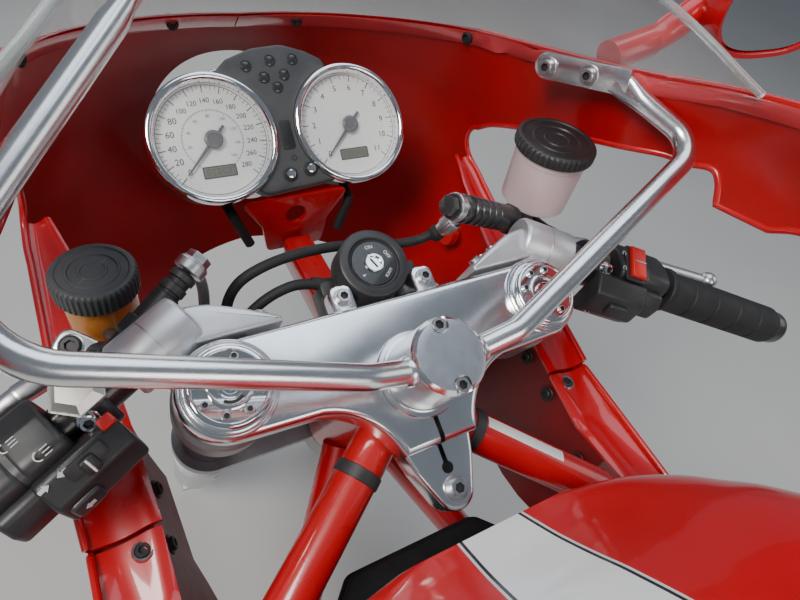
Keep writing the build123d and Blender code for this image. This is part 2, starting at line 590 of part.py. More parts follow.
# side panels behind the fairing: outer wall and inward shelf; they run on from the fairing's flank
for side, s in (("left", -1), ("right", 1)):
    with BuildPart() as panel:
        with BuildSketch(SIDE.offset(s * 196.5)):
            with BuildLine():
                Polyline((13, -104), (13, -176), (-30, -232), (-150, -258), (-196, -204), (-160, -150), (-95, -112), (-50, -108.5), close=True)
            make_face()
        extrude(amount=-s * 3.5)
        for y, xo, zo, xi, zi in ((13, 195, -107.5, 153, -102), (-30, 195, -113, 153, -114), (-90, 195, -116, 153, -108)):
            with BuildSketch(y_plane(y)):
                with BuildLine():
                    Polyline((s * xo, zo), (s * xi, zi), (s * xi, zi + LIP_T), (s * xo, zo + LIP_T), close=True)
                make_face()
        loft(ruled=True)
    panel.part.label = side + "_side_panel"
    export_step(panel.part, "parts/" + side + "_side_panel.step")

    with BuildPart() as mirror:
        add(rod(at(s * 186, 118, 120), at(s * 262, 122, 150), 10))
        with BuildSketch(y_plane(92)):
            with Locations((s * 318, 168)):
                SlotOverall(150, 92)
        extrude(amount=-38, taper=8)
        with BuildSketch(y_plane(91.9)):
            with Locations((s * 318, 168)):
                SlotOverall(138, 80)
        extrude(amount=-6, mode=Mode.SUBTRACT)
    mirror.part.label = side + "_mirror"
    export_step(mirror.part, "parts/" + side + "_mirror.step")

with BuildPart() as mirror_glass:
    with BuildSketch(y_plane(94)):
        with Locations((-318, 168), (318, 168)):
            SlotOverall(136, 78)
    extrude(amount=-3.8)
mirror_glass.part.label = "mirror_glasses"
export_step(mirror_glass.part, "parts/mirror_glasses.step")
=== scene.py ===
import math

import bmesh
import bpy
import numpy as np
from mathutils import Matrix, Vector


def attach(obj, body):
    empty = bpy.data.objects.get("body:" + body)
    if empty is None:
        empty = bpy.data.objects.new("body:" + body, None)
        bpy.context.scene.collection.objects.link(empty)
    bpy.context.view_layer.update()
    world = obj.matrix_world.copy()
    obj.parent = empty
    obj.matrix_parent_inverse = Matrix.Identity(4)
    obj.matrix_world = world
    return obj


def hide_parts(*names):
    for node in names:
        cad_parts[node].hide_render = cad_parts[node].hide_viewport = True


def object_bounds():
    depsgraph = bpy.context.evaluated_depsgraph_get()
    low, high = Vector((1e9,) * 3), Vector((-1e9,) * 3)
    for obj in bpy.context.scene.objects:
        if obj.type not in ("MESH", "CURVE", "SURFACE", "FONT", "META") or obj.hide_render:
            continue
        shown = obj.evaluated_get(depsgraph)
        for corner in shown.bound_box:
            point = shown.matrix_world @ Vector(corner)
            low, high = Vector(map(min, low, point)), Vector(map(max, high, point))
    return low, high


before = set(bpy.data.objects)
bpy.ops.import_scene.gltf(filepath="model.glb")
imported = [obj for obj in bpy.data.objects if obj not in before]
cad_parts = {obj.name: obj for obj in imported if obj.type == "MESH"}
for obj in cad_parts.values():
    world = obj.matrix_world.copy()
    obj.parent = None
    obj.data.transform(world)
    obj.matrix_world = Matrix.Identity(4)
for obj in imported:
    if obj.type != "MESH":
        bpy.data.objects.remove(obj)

CAD_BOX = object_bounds()
MM = 0.001
HY, HZ = 330.0, 430.0
CR, SR = math.cos(math.radians(24)), math.sin(math.radians(24))
PI = math.pi


# ------------------------------------------------------------------ places (mm in, metres out)
def at(x, y, z):
    return Vector((x, y + HY, z + HZ)) * MM


def yk(x, y, z):
    return at(x, y * CR - z * SR, y * SR + z * CR)


UP = Vector((0, -SR, CR))
VX, VY, VZ = Vector((1, 0, 0)), Vector((0, 1, 0)), Vector((0, 0, 1))


def axes(origin, z, x=VX):
    """Matrix from local millimetres to metres, local z along z, local x as near x as it can be."""
    z = Vector(z).normalized()
    y = z.cross(Vector(x)).normalized()
    x = y.cross(z).normalized()
    m = Matrix((x, y, z)).transposed().to_4x4()
    return Matrix.Translation(origin) @ m @ Matrix.Scale(MM, 4)


YM = axes(at(0, 0, 0), UP)
GA = math.radians(46)
GN = Vector((0, -math.sin(GA), math.cos(GA)))
GM = axes(at(0, 225.5, 19.8), GN)
BAR_IN, BAR_OUT = Vector((125, 66, 8)), Vector((340, -33, -56))
BAR_LEN = (BAR_OUT - BAR_IN).length


def onbar(k, s):
    v = BAR_IN + (BAR_OUT - BAR_IN) * k
    return at(v.x * s, v.y, v.z)


def bar_axes(k, s):
    d = onbar(1, s) - onbar(0, s)
    return axes(onbar(k, s), d, UP)


# ------------------------------------------------------------------ flat outlines
def arc(cx, cy, r, a0, a1, n=12):
    return [(cx + r * math.cos(math.radians(a0 + (a1 - a0) * i / n)), cy + r * math.sin(math.radians(a0 + (a1 - a0) * i / n))) for i in range(n + 1)]


def arc3(p, q, r, n=10):
    """Arc from p through q to r."""
    ax, ay, bx, by, cx, cy = *p, *q, *r
    d = 2 * (ax * (by - cy) + bx * (cy - ay) + cx * (ay - by))
    ux = ((ax * ax + ay * ay) * (by - cy) + (bx * bx + by * by) * (cy - ay) + (cx * cx + cy * cy) * (ay - by)) / d
    uy = ((ax * ax + ay * ay) * (cx - bx) + (bx * bx + by * by) * (ax - cx) + (cx * cx + cy * cy) * (bx - ax)) / d
    a0, a1, a2 = (math.atan2(y - uy, x - ux) for x, y in (p, q, r))
    t = (a2 - a0) % (2 * PI)
    if (a1 - a0) % (2 * PI) > t:
        t -= 2 * PI
    rad = math.hypot(ax - ux, ay - uy)
    return [(ux + rad * math.cos(a0 + t * i / n), uy + rad * math.sin(a0 + t * i / n)) for i in range(n + 1)]


def circle(cx, cy, r, n=40):
    return [(cx + r * math.cos(2 * PI * i / n), cy + r * math.sin(2 * PI * i / n)) for i in range(n)]


def rounded(poly, r, n=6):
    """Closed polygon with each corner rounded; r is one radius or one per corner."""
    out = []
    for i, p in enumerate(poly):
        a, b, c = Vector(poly[i - 1]), Vector(p), Vector(poly[(i + 1) % len(poly)])
        rr = r[i] if isinstance(r, (list, tuple)) else r
        u, v = (a - b), (c - b)
        turn = u.angle(v)
        if rr <= 0 or turn > PI - 0.02:
            out.append((b.x, b.y))
            continue
        d = min(rr / math.tan(turn / 2), 0.48 * u.length, 0.48 * v.length)
        p0, p1 = b + u.normalized() * d, b + v.normalized() * d
        for k in range(n + 1):
            t = k / n
            q = p0 * (1 - t) ** 2 + b * 2 * t * (1 - t) + p1 * t * t
            out.append((q.x, q.y))
    return out


def area2(poly):
    return sum(poly[i - 1][0] * p[1] - p[0] * poly[i - 1][1] for i, p in enumerate(poly)) / 2


def catmull(points, n=8, closed=False):
    """Smooth line through points of any dimension."""
    P = [Vector(p) for p in points]
    out = []
    m = len(P)
    for i in range(m if closed else m - 1):
        p1, p2 = P[i], P[(i + 1) % m]
        p0 = P[i - 1] if closed or i > 0 else p1 * 2 - p2
        p3 = P[(i + 2) % m] if closed or i < m - 2 else p2 * 2 - p1
        for k in range(n):
            t = k / n
            out.append(0.5 * ((2 * p1) + (p2 - p0) * t + (2 * p0 - 5 * p1 + 4 * p2 - p3) * t * t + (3 * p1 - p0 - 3 * p2 + p3) * t ** 3))
    if not closed:
        out.append(P[-1].copy())
    return out


# ------------------------------------------------------------------ mesh builder
class Shape:
    def __init__(self):
        self.v, self.f, self.m = [], [], []

    def put(self, verts, faces, m=0):
        o = len(self.v)
        self.v += [Vector(p) for p in verts]
        self.f += [[i + o for i in f] for f in faces]
        self.m += [m] * len(faces)

    def rings(self, rings, m=0, closed=True, cap0=False, cap1=False, loop=False):
        """Skin over rings of points; a ring of one point is a tip."""
        vs, fs, idx = [], [], []
        for r in rings:
            idx.append(list(range(len(vs), len(vs) + len(r))))
            vs += r
        pairs = list(zip(idx[:-1], idx[1:])) + ([(idx[-1], idx[0])] if loop else [])
        for a, b in pairs:
            n = max(len(a), len(b))
            for i in range(n if closed else n - 1):
                j = (i + 1) % n
                if len(a) == 1:
                    fs.append([a[0], b[i], b[j]])
                elif len(b) == 1:
                    fs.append([a[i], a[j], b[0]])
                else:
                    fs.append([a[i], a[j], b[j], b[i]])
        if cap0:
            fs.append(idx[0][::-1])
        if cap1:
            fs.append(idx[-1])
        self.put(vs, fs, m)

    def lathe(self, M, prof, n=64, m=0, loop=False):
        """Turned shape: prof is (radius, height) down the profile, in M's axes."""
        rs = []
        for r, z in prof:
            rs.append([M @ Vector((0, 0, z))] if r < 1e-6 else [M @ Vector((r * math.cos(2 * PI * i / n), r * math.sin(2 * PI * i / n), z)) for i in range(n)])
        self.rings(rs, m, loop=loop)

    def tube(self, pts, r, n=16, m=0, cap=True, flat=1.0, up=None):
        """Round bar along points in metres; r in mm, one or one per point."""
        P = [Vector(p) for p in pts]
        R = r if isinstance(r, (list, tuple)) else [r] * len(P)
        t0 = (P[1] - P[0]).normalized()
        side = t0.cross(up if up else (VZ if abs(t0.z) < 0.9 else VX)).normalized()
        rs = []
        for i, p in enumerate(P):
            t = ((P[min(i + 1, len(P) - 1)] - p).normalized() + (p - P[max(i - 1, 0)]).normalized()).normalized()
            side = (side - t * side.dot(t)).normalized()
            top = t.cross(side)
            rs.append([p + (side * math.cos(2 * PI * k / n) + top * math.sin(2 * PI * k / n) * flat) * R[i] * MM for k in range(n)])
        self.rings(rs, m, cap0=cap, cap1=cap)

    def prism(self, M, loop, z0, z1, bev=0.0, m=0, seg=3):
        """Flat outline between two heights, its edges rounded inwards."""
        pts = [Vector(p) for p in loop]
        if area2(loop) < 0:
            pts.reverse()
        n = len(pts)
        nor = []
        for i in range(n):
            e0, e1 = (pts[i] - pts[i - 1]), (pts[(i + 1) % n] - pts[i])
            e0 = e0.normalized() if e0.length > 1e-9 else e1.normalized()
            e1 = e1.normalized() if e1.length > 1e-9 else e0
            a = (Vector((e0.y, -e0.x)) + Vector((e1.y, -e1.x)))
            a = a.normalized() if a.length > 1e-6 else Vector((e0.y, -e0.x))
            nor.append(a / max(0.5, a.dot(Vector((e0.y, -e0.x)))))
        lv = []
        steps = [(bev * (1 - math.cos(PI / 2 * (1 - k / seg))), -bev * (1 - math.sin(PI / 2 * (1 - k / seg)))) for k in range(seg + 1)] if bev else [(0, 0)]
        # top edge from inner to outer, then the bottom edge
        top = [(bev * (1 - math.sin(PI / 2 * k / seg)), z1 - bev * (1 - math.cos(PI / 2 * k / seg))) for k in range(seg + 1)] if bev else [(0, z1)]
        bot = [(bev * (1 - math.cos(PI / 2 * k / seg)), z0 + bev * (1 - math.sin(PI / 2 * k / seg))) for k in range(seg + 1)] if bev else [(0, z0)]
        for d, z in top + bot:
            lv.append([M @ Vector((p.x - q.x * d, p.y - q.y * d, z)) for p, q in zip(pts, nor)])
        self.rings(lv, m, cap0=True, cap1=True)

    def brick(self, M, lo, hi, bev=1.0, m=0, seg=2):
        """Block with rounded edges: outline in x and y, heights in z."""
        r = min(bev * 1.5, 0.45 * min(hi[0] - lo[0], hi[1] - lo[1]))
        self.prism(M, rounded([(lo[0], lo[1]), (hi[0], lo[1]), (hi[0], hi[1]), (lo[0], hi[1])], r, 3), lo[2], hi[2], min(bev, 0.45 * (hi[2] - lo[2])), m, seg)

    def bolt(self, M, r, h, m=0, md=1, kind="socket", washer=0.0):
        """Screw head standing on z=0: a turned head with a six-sided recess, or a hexagon head."""
        if washer:
            self.lathe(M, [(washer, 0), (washer, 0.8), (washer - 0.4, 1.2), (r * 0.5, 1.2)], 28, m)
        z = 1.0 if washer else 0.0
        if kind == "socket":
            k = r * 0.52
            self.lathe(M, [(r, z), (r, z + h - 0.5), (r - 0.5, z + h), (k + 0.4, z + h)], 28, m)
            a = [M @ Vector(((k + 0.4) * math.cos(2 * PI * i / 6), (k + 0.4) * math.sin(2 * PI * i / 6), z + h)) for i in range(6)]
            b = [M @ Vector((k * math.cos(2 * PI * i / 6), k * math.sin(2 * PI * i / 6), z + h * 0.35)) for i in range(6)]
            rim = [M @ Vector(((k + 0.41) * math.cos(2 * PI * i / 28), (k + 0.41) * math.sin(2 * PI * i / 28), z + h)) for i in range(28)]
            # the recess walls and floor take material md; where md is the near-black recess colour, the dark is painted
            # shade
            self.rings([a, b], md, cap1=True)
            fs = []
            for i in range(28):
                j, s0, s1 = (i + 1) % 28, int(i * 6 / 28 + 0.5) % 6, int((i + 1) * 6 / 28 + 0.5) % 6
                fs.append([i, j, 28 + s1, 28 + s0] if s0 != s1 else [i, j, 28 + s0])
            self.put(rim + a, fs, m)
        else:
            c = [(r * math.cos(2 * PI * i / 6), r * math.sin(2 * PI * i / 6)) for i in range(6)]
            self.prism(M, c, z, z + h, min(0.5, h * 0.3), m, 2)

    def text(self, M, words, size, m=0, depth=0.15, align="CENTER"):
        cu = bpy.data.curves.new("t", "FONT")
        cu.body, cu.size, cu.align_x, cu.align_y = words, size, align, "CENTER"
        cu.extrude, cu.resolution_u = depth, 3
        self.curve(cu, M, m)

    def curve(self, cu, M, m=0):
        ob = bpy.data.objects.new("t", cu)
        bpy.context.scene.collection.objects.link(ob)
        bpy.context.view_layer.update()
        me = bpy.data.meshes.new_from_object(ob.evaluated_get(bpy.context.evaluated_depsgraph_get()))
        self.put([M @ v.co for v in me.vertices], [list(p.vertices) for p in me.polygons], m)
        bpy.data.objects.remove(ob)
        bpy.data.curves.remove(cu)
        bpy.data.meshes.remove(me)

    def mirrored(self):
        o = Shape()
        o.put([Vector((-p.x, p.y, p.z)) for p in self.v], [f[::-1] for f in self.f])
        o.m = list(self.m)
        return o

    def done(self, name, body, mats, slot, replaces=(), sharp=38, cuts=(), merge=1e-6, mods=None, recalc=True, self_cut=False):
        me = bpy.data.meshes.new(name)
        me.from_pydata(self.v, [], self.f)
        me.polygons.foreach_set("material_index", self.m)
        ob = bpy.data.objects.new(name, me)
        bpy.context.scene.collection.objects.link(ob)
        for x in mats:
            me.materials.append(x)
        bm = bmesh.new()
        bm.from_mesh(me)
        bmesh.ops.remove_doubles(bm, verts=bm.verts, dist=merge)
        if recalc:
            bmesh.ops.recalc_face_normals(bm, faces=bm.faces)
        bm.to_mesh(me)
        bm.free()
        if mods:
            mods(ob)
            bake(ob)
        for c in cuts:
            b = ob.modifiers.new("cut", "BOOLEAN")
            b.object, b.operation, b.solver = c, "DIFFERENCE", "EXACT"
            b.use_self = self_cut
        if cuts:
            bake(ob)
            for c in cuts:
                cm = c.data
                bpy.data.objects.remove(c)
                bpy.data.meshes.remove(cm)
        soften(ob, sharp)
        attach(ob, body)
        if replaces:
            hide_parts(*([replaces] if isinstance(replaces, str) else replaces))
        return ob

    def cutter(self):
        me = bpy.data.meshes.new("cutter")
        me.from_pydata(self.v, [], self.f)
        bm = bmesh.new()
        bm.from_mesh(me)
        bmesh.ops.remove_doubles(bm, verts=bm.verts, dist=1e-6)
        bmesh.ops.recalc_face_normals(bm, faces=bm.faces)
        bm.to_mesh(me)
        bm.free()
        ob = bpy.data.objects.new("cutter", me)
        bpy.context.scene.collection.objects.link(ob)
        return ob


def bake(ob):
    """Applies the object's modifiers to its mesh."""
    bpy.context.view_layer.update()
    me = bpy.data.meshes.new_from_object(ob.evaluated_get(bpy.context.evaluated_depsgraph_get()))
    old = ob.data
    ob.modifiers.clear()
    ob.data = me
    me.name = old.name
    bpy.data.meshes.remove(old)


def soften(ob, sharp=38):
    bm = bmesh.new()
    bm.from_mesh(ob.data)
    lim = math.radians(sharp)
    for f in bm.faces:
        f.smooth = True
    for e in bm.edges:
        e.smooth = not (len(e.link_faces) == 2 and e.calc_face_angle(0) > lim)
    bm.to_mesh(ob.data)
    bm.free()


# ------------------------------------------------------------------ materials
def link(nt, a, b):
    nt.links.new(a, b)


def material(name, color, rough=0.4, metal=0.0, coat=0.0, coat_rough=0.03, vary=0.06, scale=60.0, bump=0.0, bump_scale=400.0, rvary=0.08,
             wear=None, dust=None, trans=0.0, ior=1.5, sheen=0.0, stretch=(1, 1, 1), sss=0.0, spec=0.5, alpha=1.0, streak=0.0):
    """Principled surface: colour drifts with noise, edges wear towards a colour, dust in patches from a second noise,
    roughness and bump from noise.
    """
    mt = bpy.data.materials.new(name)
    mt.use_nodes = True
    nt = mt.node_tree
    b = nt.nodes["Principled BSDF"]
    b.inputs["Metallic"].default_value = metal
    b.inputs["Coat Weight"].default_value = coat
    b.inputs["Coat Roughness"].default_value = coat_rough
    b.inputs["Transmission Weight"].default_value = trans
    b.inputs["IOR"].default_value = ior
    b.inputs["Sheen Weight"].default_value = sheen
    b.inputs["Specular IOR Level"].default_value = spec
    b.inputs["Alpha"].default_value = alpha
    if sss:
        b.inputs["Subsurface Weight"].default_value = sss
        b.inputs["Subsurface Scale"].default_value = 0.01
    tc = nt.nodes.new("ShaderNodeTexCoord")
    mp = nt.nodes.new("ShaderNodeMapping")
    mp.inputs["Scale"].default_value = stretch
    link(nt, tc.outputs["Object"], mp.inputs["Vector"])
    n1 = nt.nodes.new("ShaderNodeTexNoise")
    n1.inputs["Scale"].default_value = scale
    n1.inputs["Detail"].default_value = 5
    link(nt, mp.outputs["Vector"], n1.inputs["Vector"])
    ramp = nt.nodes.new("ShaderNodeMapRange")
    ramp.inputs["From Min"].default_value, ramp.inputs["From Max"].default_value = 0.3, 0.7
    link(nt, n1.outputs["Fac"], ramp.inputs["Value"])
    mix = nt.nodes.new("ShaderNodeMix")
    mix.data_type = "RGBA"
    c = Vector(color)
    lo, hi = c * (1 - vary), c * (1 + vary)
    mix.inputs["A"].default_value = (*[min(1, x) for x in lo], 1)
    mix.inputs["B"].default_value = (*[min(1, x) for x in hi], 1)
    link(nt, ramp.outputs["Result"], mix.inputs["Factor"])
    col = mix.outputs["Result"]
    if wear:
        geo = nt.nodes.new("ShaderNodeNewGeometry")
        r2 = nt.nodes.new("ShaderNodeMapRange")
        r2.inputs["From Min"].default_value, r2.inputs["From Max"].default_value = 0.53, 0.62
        link(nt, geo.outputs["Pointiness"], r2.inputs["Value"])
        mul = nt.nodes.new("ShaderNodeMath")
        mul.operation = "MULTIPLY"
        link(nt, r2.outputs["Result"], mul.inputs[0])
        link(nt, n1.outputs["Fac"], mul.inputs[1])
        mw = nt.nodes.new("ShaderNodeMix")
        mw.data_type = "RGBA"
        link(nt, mul.outputs["Value"], mw.inputs["Factor"])
        link(nt, col, mw.inputs["A"])
        mw.inputs["B"].default_value = (*wear, 1)
        col = mw.outputs["Result"]
    if dust:
        n3 = nt.nodes.new("ShaderNodeTexNoise")
        n3.inputs["Scale"].default_value = 22
        n3.inputs["Detail"].default_value = 8
        n3.inputs["Roughness"].default_value = 0.7
        link(nt, tc.outputs["Object"], n3.inputs["Vector"])
        r3 = nt.nodes.new("ShaderNodeMapRange")
        r3.inputs["From Min"].default_value, r3.inputs["From Max"].default_value = 0.5, 0.85
        r3.inputs["To Max"].default_value = dust[3]
        link(nt, n3.outputs["Fac"], r3.inputs["Value"])
        md = nt.nodes.new("ShaderNodeMix")
        md.data_type = "RGBA"
        link(nt, r3.outputs["Result"], md.inputs["Factor"])
        link(nt, col, md.inputs["A"])
        md.inputs["B"].default_value = (*dust[:3], 1)
        col = md.outputs["Result"]
    link(nt, col, b.inputs["Base Color"])
    rr = nt.nodes.new("ShaderNodeMapRange")
    rr.inputs["To Min"].default_value, rr.inputs["To Max"].default_value = max(0.0, rough - rvary), rough + rvary
    n2 = nt.nodes.new("ShaderNodeTexNoise")
    n2.inputs["Scale"].default_value = scale * 3.1
    n2.inputs["Detail"].default_value = 4
    link(nt, mp.outputs["Vector"], n2.inputs["Vector"])
    link(nt, n2.outputs["Fac"], rr.inputs["Value"])
    link(nt, rr.outputs["Result"], b.inputs["Roughness"])
    if bump:
        n4 = nt.nodes.new("ShaderNodeTexNoise")
        n4.inputs["Scale"].default_value = bump_scale
        n4.inputs["Detail"].default_value = 3
        link(nt, mp.outputs["Vector"], n4.inputs["Vector"])
        bp = nt.nodes.new("ShaderNodeBump")
        bp.inputs["Strength"].default_value = 1.0
        bp.inputs["Distance"].default_value = bump * MM
        link(nt, n4.outputs["Fac"], bp.inputs["Height"])
        link(nt, bp.outputs["Normal"], b.inputs["Normal"])
    return mt


RED = material("red_lacquer", (0.52, 0.0015, 0.006), 0.30, coat=0.75, coat_rough=0.05, vary=0.05, scale=14, bump=0.010, bump_scale=260, rvary=0.05)
# darker, less glossy copy of the red lacquer for the fairing's inside faces: painted shade; its light patches are dust
RED_IN_SHADE_DUST = material("red_lacquer_inside_painted_shade_and_dust", (0.38, 0.001, 0.004), 0.46, coat=0.15, coat_rough=0.25, vary=0.10, scale=18, bump=0.02, bump_scale=300, dust=(0.30, 0.03, 0.025, 0.20), spec=0.3)
FLANGE = material("screen_flange_red", (0.66, 0.06, 0.07), 0.22, coat=0.9, coat_rough=0.06, vary=0.08, scale=24, bump=0.01, bump_scale=260)
# darker copy of the cast alloy for parts under the top yoke: painted shade
CAST_SHADE = material("cast_alu_painted_shade", (0.36, 0.36, 0.37), 0.42, metal=0.8, vary=0.08, scale=60, bump=0.05, bump_scale=1300)
# still darker copy of the cast alloy: painted shade
CAST_DEEP_SHADE = material("cast_alu_deep_painted_shade", (0.10, 0.10, 0.105), 0.46, metal=0.5, vary=0.08, scale=60, bump=0.05, bump_scale=1300)
RED_FRAME = material("red_frame_paint", (0.46, 0.0015, 0.005), 0.30, coat=0.8, coat_rough=0.06, vary=0.08, scale=30, bump=0.02, bump_scale=500, wear=(0.55, 0.02, 0.02))
POL = material("polished_alu", (0.86, 0.87, 0.885), 0.19, metal=1.0, vary=0.03, scale=25, bump=0.006, bump_scale=1500, rvary=0.05)
SATIN = material("satin_alu", (0.80, 0.81, 0.82), 0.30, metal=1.0, vary=0.04, scale=40, bump=0.010, bump_scale=1800, rvary=0.07, stretch=(1, 1, 6))
CAST = material("cast_alu", (0.66, 0.67, 0.68), 0.42, metal=0.9, vary=0.06, scale=60, bump=0.05, bump_scale=1300)
CASTP = material("painted_cast_alu", (0.70, 0.71, 0.73), 0.40, metal=0.75, vary=0.04, scale=40, bump=0.04, bump_scale=1700)
BRUSH = material("brushed_tube", (0.84, 0.845, 0.85), 0.24, metal=1.0, vary=0.04, scale=30, bump=0.012, bump_scale=900, rvary=0.06, stretch=(0.35, 4, 4))
CHROME = material("chrome", (0.90, 0.91, 0.92), 0.06, metal=1.0, vary=0.02, scale=30, bump=0.002, bump_scale=900, rvary=0.03)
STEEL = material("steel", (0.60, 0.60, 0.61), 0.30, metal=1.0, vary=0.08, scale=120, bump=0.01, bump_scale=900)
# near black for recesses and slots: painted shade; also the real dark frame round the gauge window
DARK_RECESS_SHADE_AND_TRIM = material("recess_painted_shade_and_dark_trim", (0.03, 0.03, 0.032), 0.5, vary=0.2, scale=200, bump=0.02)
BLACK = material("black_plastic", (0.022, 0.022, 0.024), 0.42, vary=0.18, scale=70, bump=0.03, bump_scale=1500, wear=(0.09, 0.09, 0.09), dust=(0.12, 0.115, 0.10, 0.12))
GREYP = material("grey_plastic", (0.055, 0.058, 0.062), 0.50, vary=0.12, scale=70, bump=0.05, bump_scale=1700, wear=(0.14, 0.14, 0.14), dust=(0.2, 0.19, 0.17, 0.15))
BPAINT = material("black_paint", (0.014, 0.014, 0.016), 0.30, coat=0.3, vary=0.15, scale=50, bump=0.01, bump_scale=1000, wear=(0.12, 0.12, 0.12))
RUBBER = material("black_rubber", (0.020, 0.020, 0.021), 0.62, vary=0.2, scale=90, bump=0.05, bump_scale=1200, dust=(0.12, 0.11, 0.10, 0.15), spec=0.35)
WHITE = material("dial_white", (0.80, 0.80, 0.78), 0.45, vary=0.03, scale=30, bump=0.0)
INK = material("dial_ink", (0.03, 0.03, 0.035), 0.5, vary=0.1, scale=80)
INKG = material("dial_ink_grey", (0.16, 0.17, 0.20), 0.5, vary=0.1, scale=80)
LCD = material("lcd_window", (0.15, 0.155, 0.12), 0.22, vary=0.10, scale=60, coat=0.6)
HUB = material("hub_grey", (0.10, 0.10, 0.105), 0.35, vary=0.1, scale=80)
LABELW = material("label_white", (0.72, 0.72, 0.70), 0.35, vary=0.04, scale=50, coat=0.3)
PRINT = material("white_print", (0.70, 0.70, 0.68), 0.5, vary=0.06, scale=80)
REDSW = material("red_switch", (0.62, 0.015, 0.012), 0.35, vary=0.08, scale=60, bump=0.01, bump_scale=900)
ORANGE = material("orange_insulator", (0.85, 0.10, 0.02), 0.40, vary=0.1, scale=60)
AMBER = material("amber_fluid_cup", (0.78, 0.30, 0.06), 0.22, vary=0.10, scale=40, trans=0.35, sss=0.35, bump=0.01, bump_scale=300)
PINKC = material("frosted_fluid_cup", (0.86, 0.66, 0.68), 0.34, vary=0.08, scale=40, trans=0.30, sss=0.45, bump=0.02, bump_scale=300)
NIPPLE = material("amber_nipple", (0.70, 0.45, 0.25), 0.3, vary=0.1, scale=60, sss=0.3)
SCREEN = material("clear_screen", (0.97, 0.985, 0.985), 0.03, trans=1.0, ior=1.42, vary=0.01, scale=20, rvary=0.02)
LENS = material("lamp_lens", (0.95, 0.96, 0.97), 0.04, trans=1.0, ior=1.45, vary=0.01, scale=20, rvary=0.02)
MIRROR = material("mirror_glass", (0.85, 0.88, 0.90), 0.02, metal=1.0, vary=0.02, scale=10, rvary=0.01)


def gauge_glass():
    mt = bpy.data.materials.new("gauge_glass")
    mt.use_nodes = True
    nt = mt.node_tree
    b = nt.nodes["Principled BSDF"]
    b.inputs["Base Color"].default_value = (0.9, 0.92, 0.95, 1)
    b.inputs["Transmission Weight"].default_value = 0.0
    b.inputs["Roughness"].default_value = 0.02
    b.inputs["Alpha"].default_value = 0.07
    n = nt.nodes.new("ShaderNodeTexNoise")
    n.inputs["Scale"].default_value = 30
    r = nt.nodes.new("ShaderNodeMapRange")
    r.inputs["To Min"].default_value, r.inputs["To Max"].default_value = 0.01, 0.05
    nt.links.new(n.outputs["Fac"], r.inputs["Value"])
    nt.links.new(r.outputs["Result"], b.inputs["Roughness"])
    return mt


GLASS = gauge_glass()


def clear_sheet():
    """Clear sheet: mostly passes light, reflects more at a shallow angle."""
    mt = bpy.data.materials.new("clear_sheet")
    mt.use_nodes = True
    nt = mt.node_tree
    b = nt.nodes["Principled BSDF"]
    b.inputs["Base Color"].default_value = (0.80, 0.83, 0.83, 1)
    b.inputs["Roughness"].default_value = 0.03
    b.inputs["Metallic"].default_value = 0.0
    lw = nt.nodes.new("ShaderNodeLayerWeight")
    lw.inputs["Blend"].default_value = 0.35
    n = nt.nodes.new("ShaderNodeTexNoise")
    n.inputs["Scale"].default_value = 9
    n.inputs["Detail"].default_value = 6
    add = nt.nodes.new("ShaderNodeMath")
    add.operation = "MULTIPLY_ADD"
    nt.links.new(n.outputs["Fac"], add.inputs[0])
    add.inputs[1].default_value = 0.06
    r = nt.nodes.new("ShaderNodeMapRange")
    r.inputs["To Min"].default_value, r.inputs["To Max"].default_value = 0.015, 0.30
    nt.links.new(lw.outputs["Facing"], r.inputs["Value"])
    nt.links.new(r.outputs["Result"], add.inputs[2])
    nt.links.new(add.outputs["Value"], b.inputs["Alpha"])
    return mt


SHEET = clear_sheet()

# ------------------------------------------------------------------ camera, light, floor
MB = ((0.8717026993089482, -0.4587416527808615, 0.17230931495823784), (-0.23471778738414378, -0.6995327504677561, -0.6749529548853815),
      (0.43016504309739717, 0.5479142515274626, -0.7174594125594247))
cam_data = bpy.data.cameras.new("camera")
cam_data.sensor_width, cam_data.lens = 36.0, 25.8917
cam_data.clip_start = 0.01
cam = bpy.data.objects.new("camera", cam_data)
bpy.context.scene.collection.objects.link(cam)
X, Y, Z = Vector(MB[0]), -Vector(MB[1]), -Vector(MB[2])
cm = Matrix((X, Y, Z)).transposed().to_4x4()
cm.translation = Vector((-0.1453447, 0.1829961, 0.6928175))
cam.matrix_world = cm
bpy.context.scene.camera = cam

floor_z = CAD_BOX[0][2] - 0.06
me = bpy.data.meshes.new("floor")
fv, ff, N = [], [], 24
for i in range(N + 1):
    for j in range(N + 1):
        fv.append((-6 + 12 * i / N, -6 + 12 * j / N, floor_z))
for i in range(N):
    for j in range(N):
        a = i * (N + 1) + j
        ff.append((a, a + N + 1, a + N + 2, a + 1))
me.from_pydata(fv, [], ff)
floor = bpy.data.objects.new("floor", me)
bpy.context.scene.collection.objects.link(floor)
me.materials.append(material("floor_pale", (0.56, 0.55, 0.53), 0.80, vary=0.03, scale=3, bump=0.1, bump_scale=40))

world = bpy.data.worlds.new("world")
bpy.context.scene.world = world
world.use_nodes = True
world.node_tree.nodes["Background"].inputs["Color"].default_value = (0.72, 0.82, 0.96, 1)
world.node_tree.nodes["Background"].inputs["Strength"].default_value = 0.20


def area(name, loc, target, size, power, color=(1, 1, 1), size_y=None):
    ld = bpy.data.lights.new(name, "AREA")
    ld.shape, ld.size, ld.size_y = "RECTANGLE", size, size_y or size
    ld.energy, ld.color = power, color
    ob = bpy.data.objects.new(name, ld)
    bpy.context.scene.collection.objects.link(ob)
    ob.location = loc
    ob.rotation_euler = (Vector(target) - Vector(loc)).to_track_quat("-Z", "Y").to_euler()
    return ob


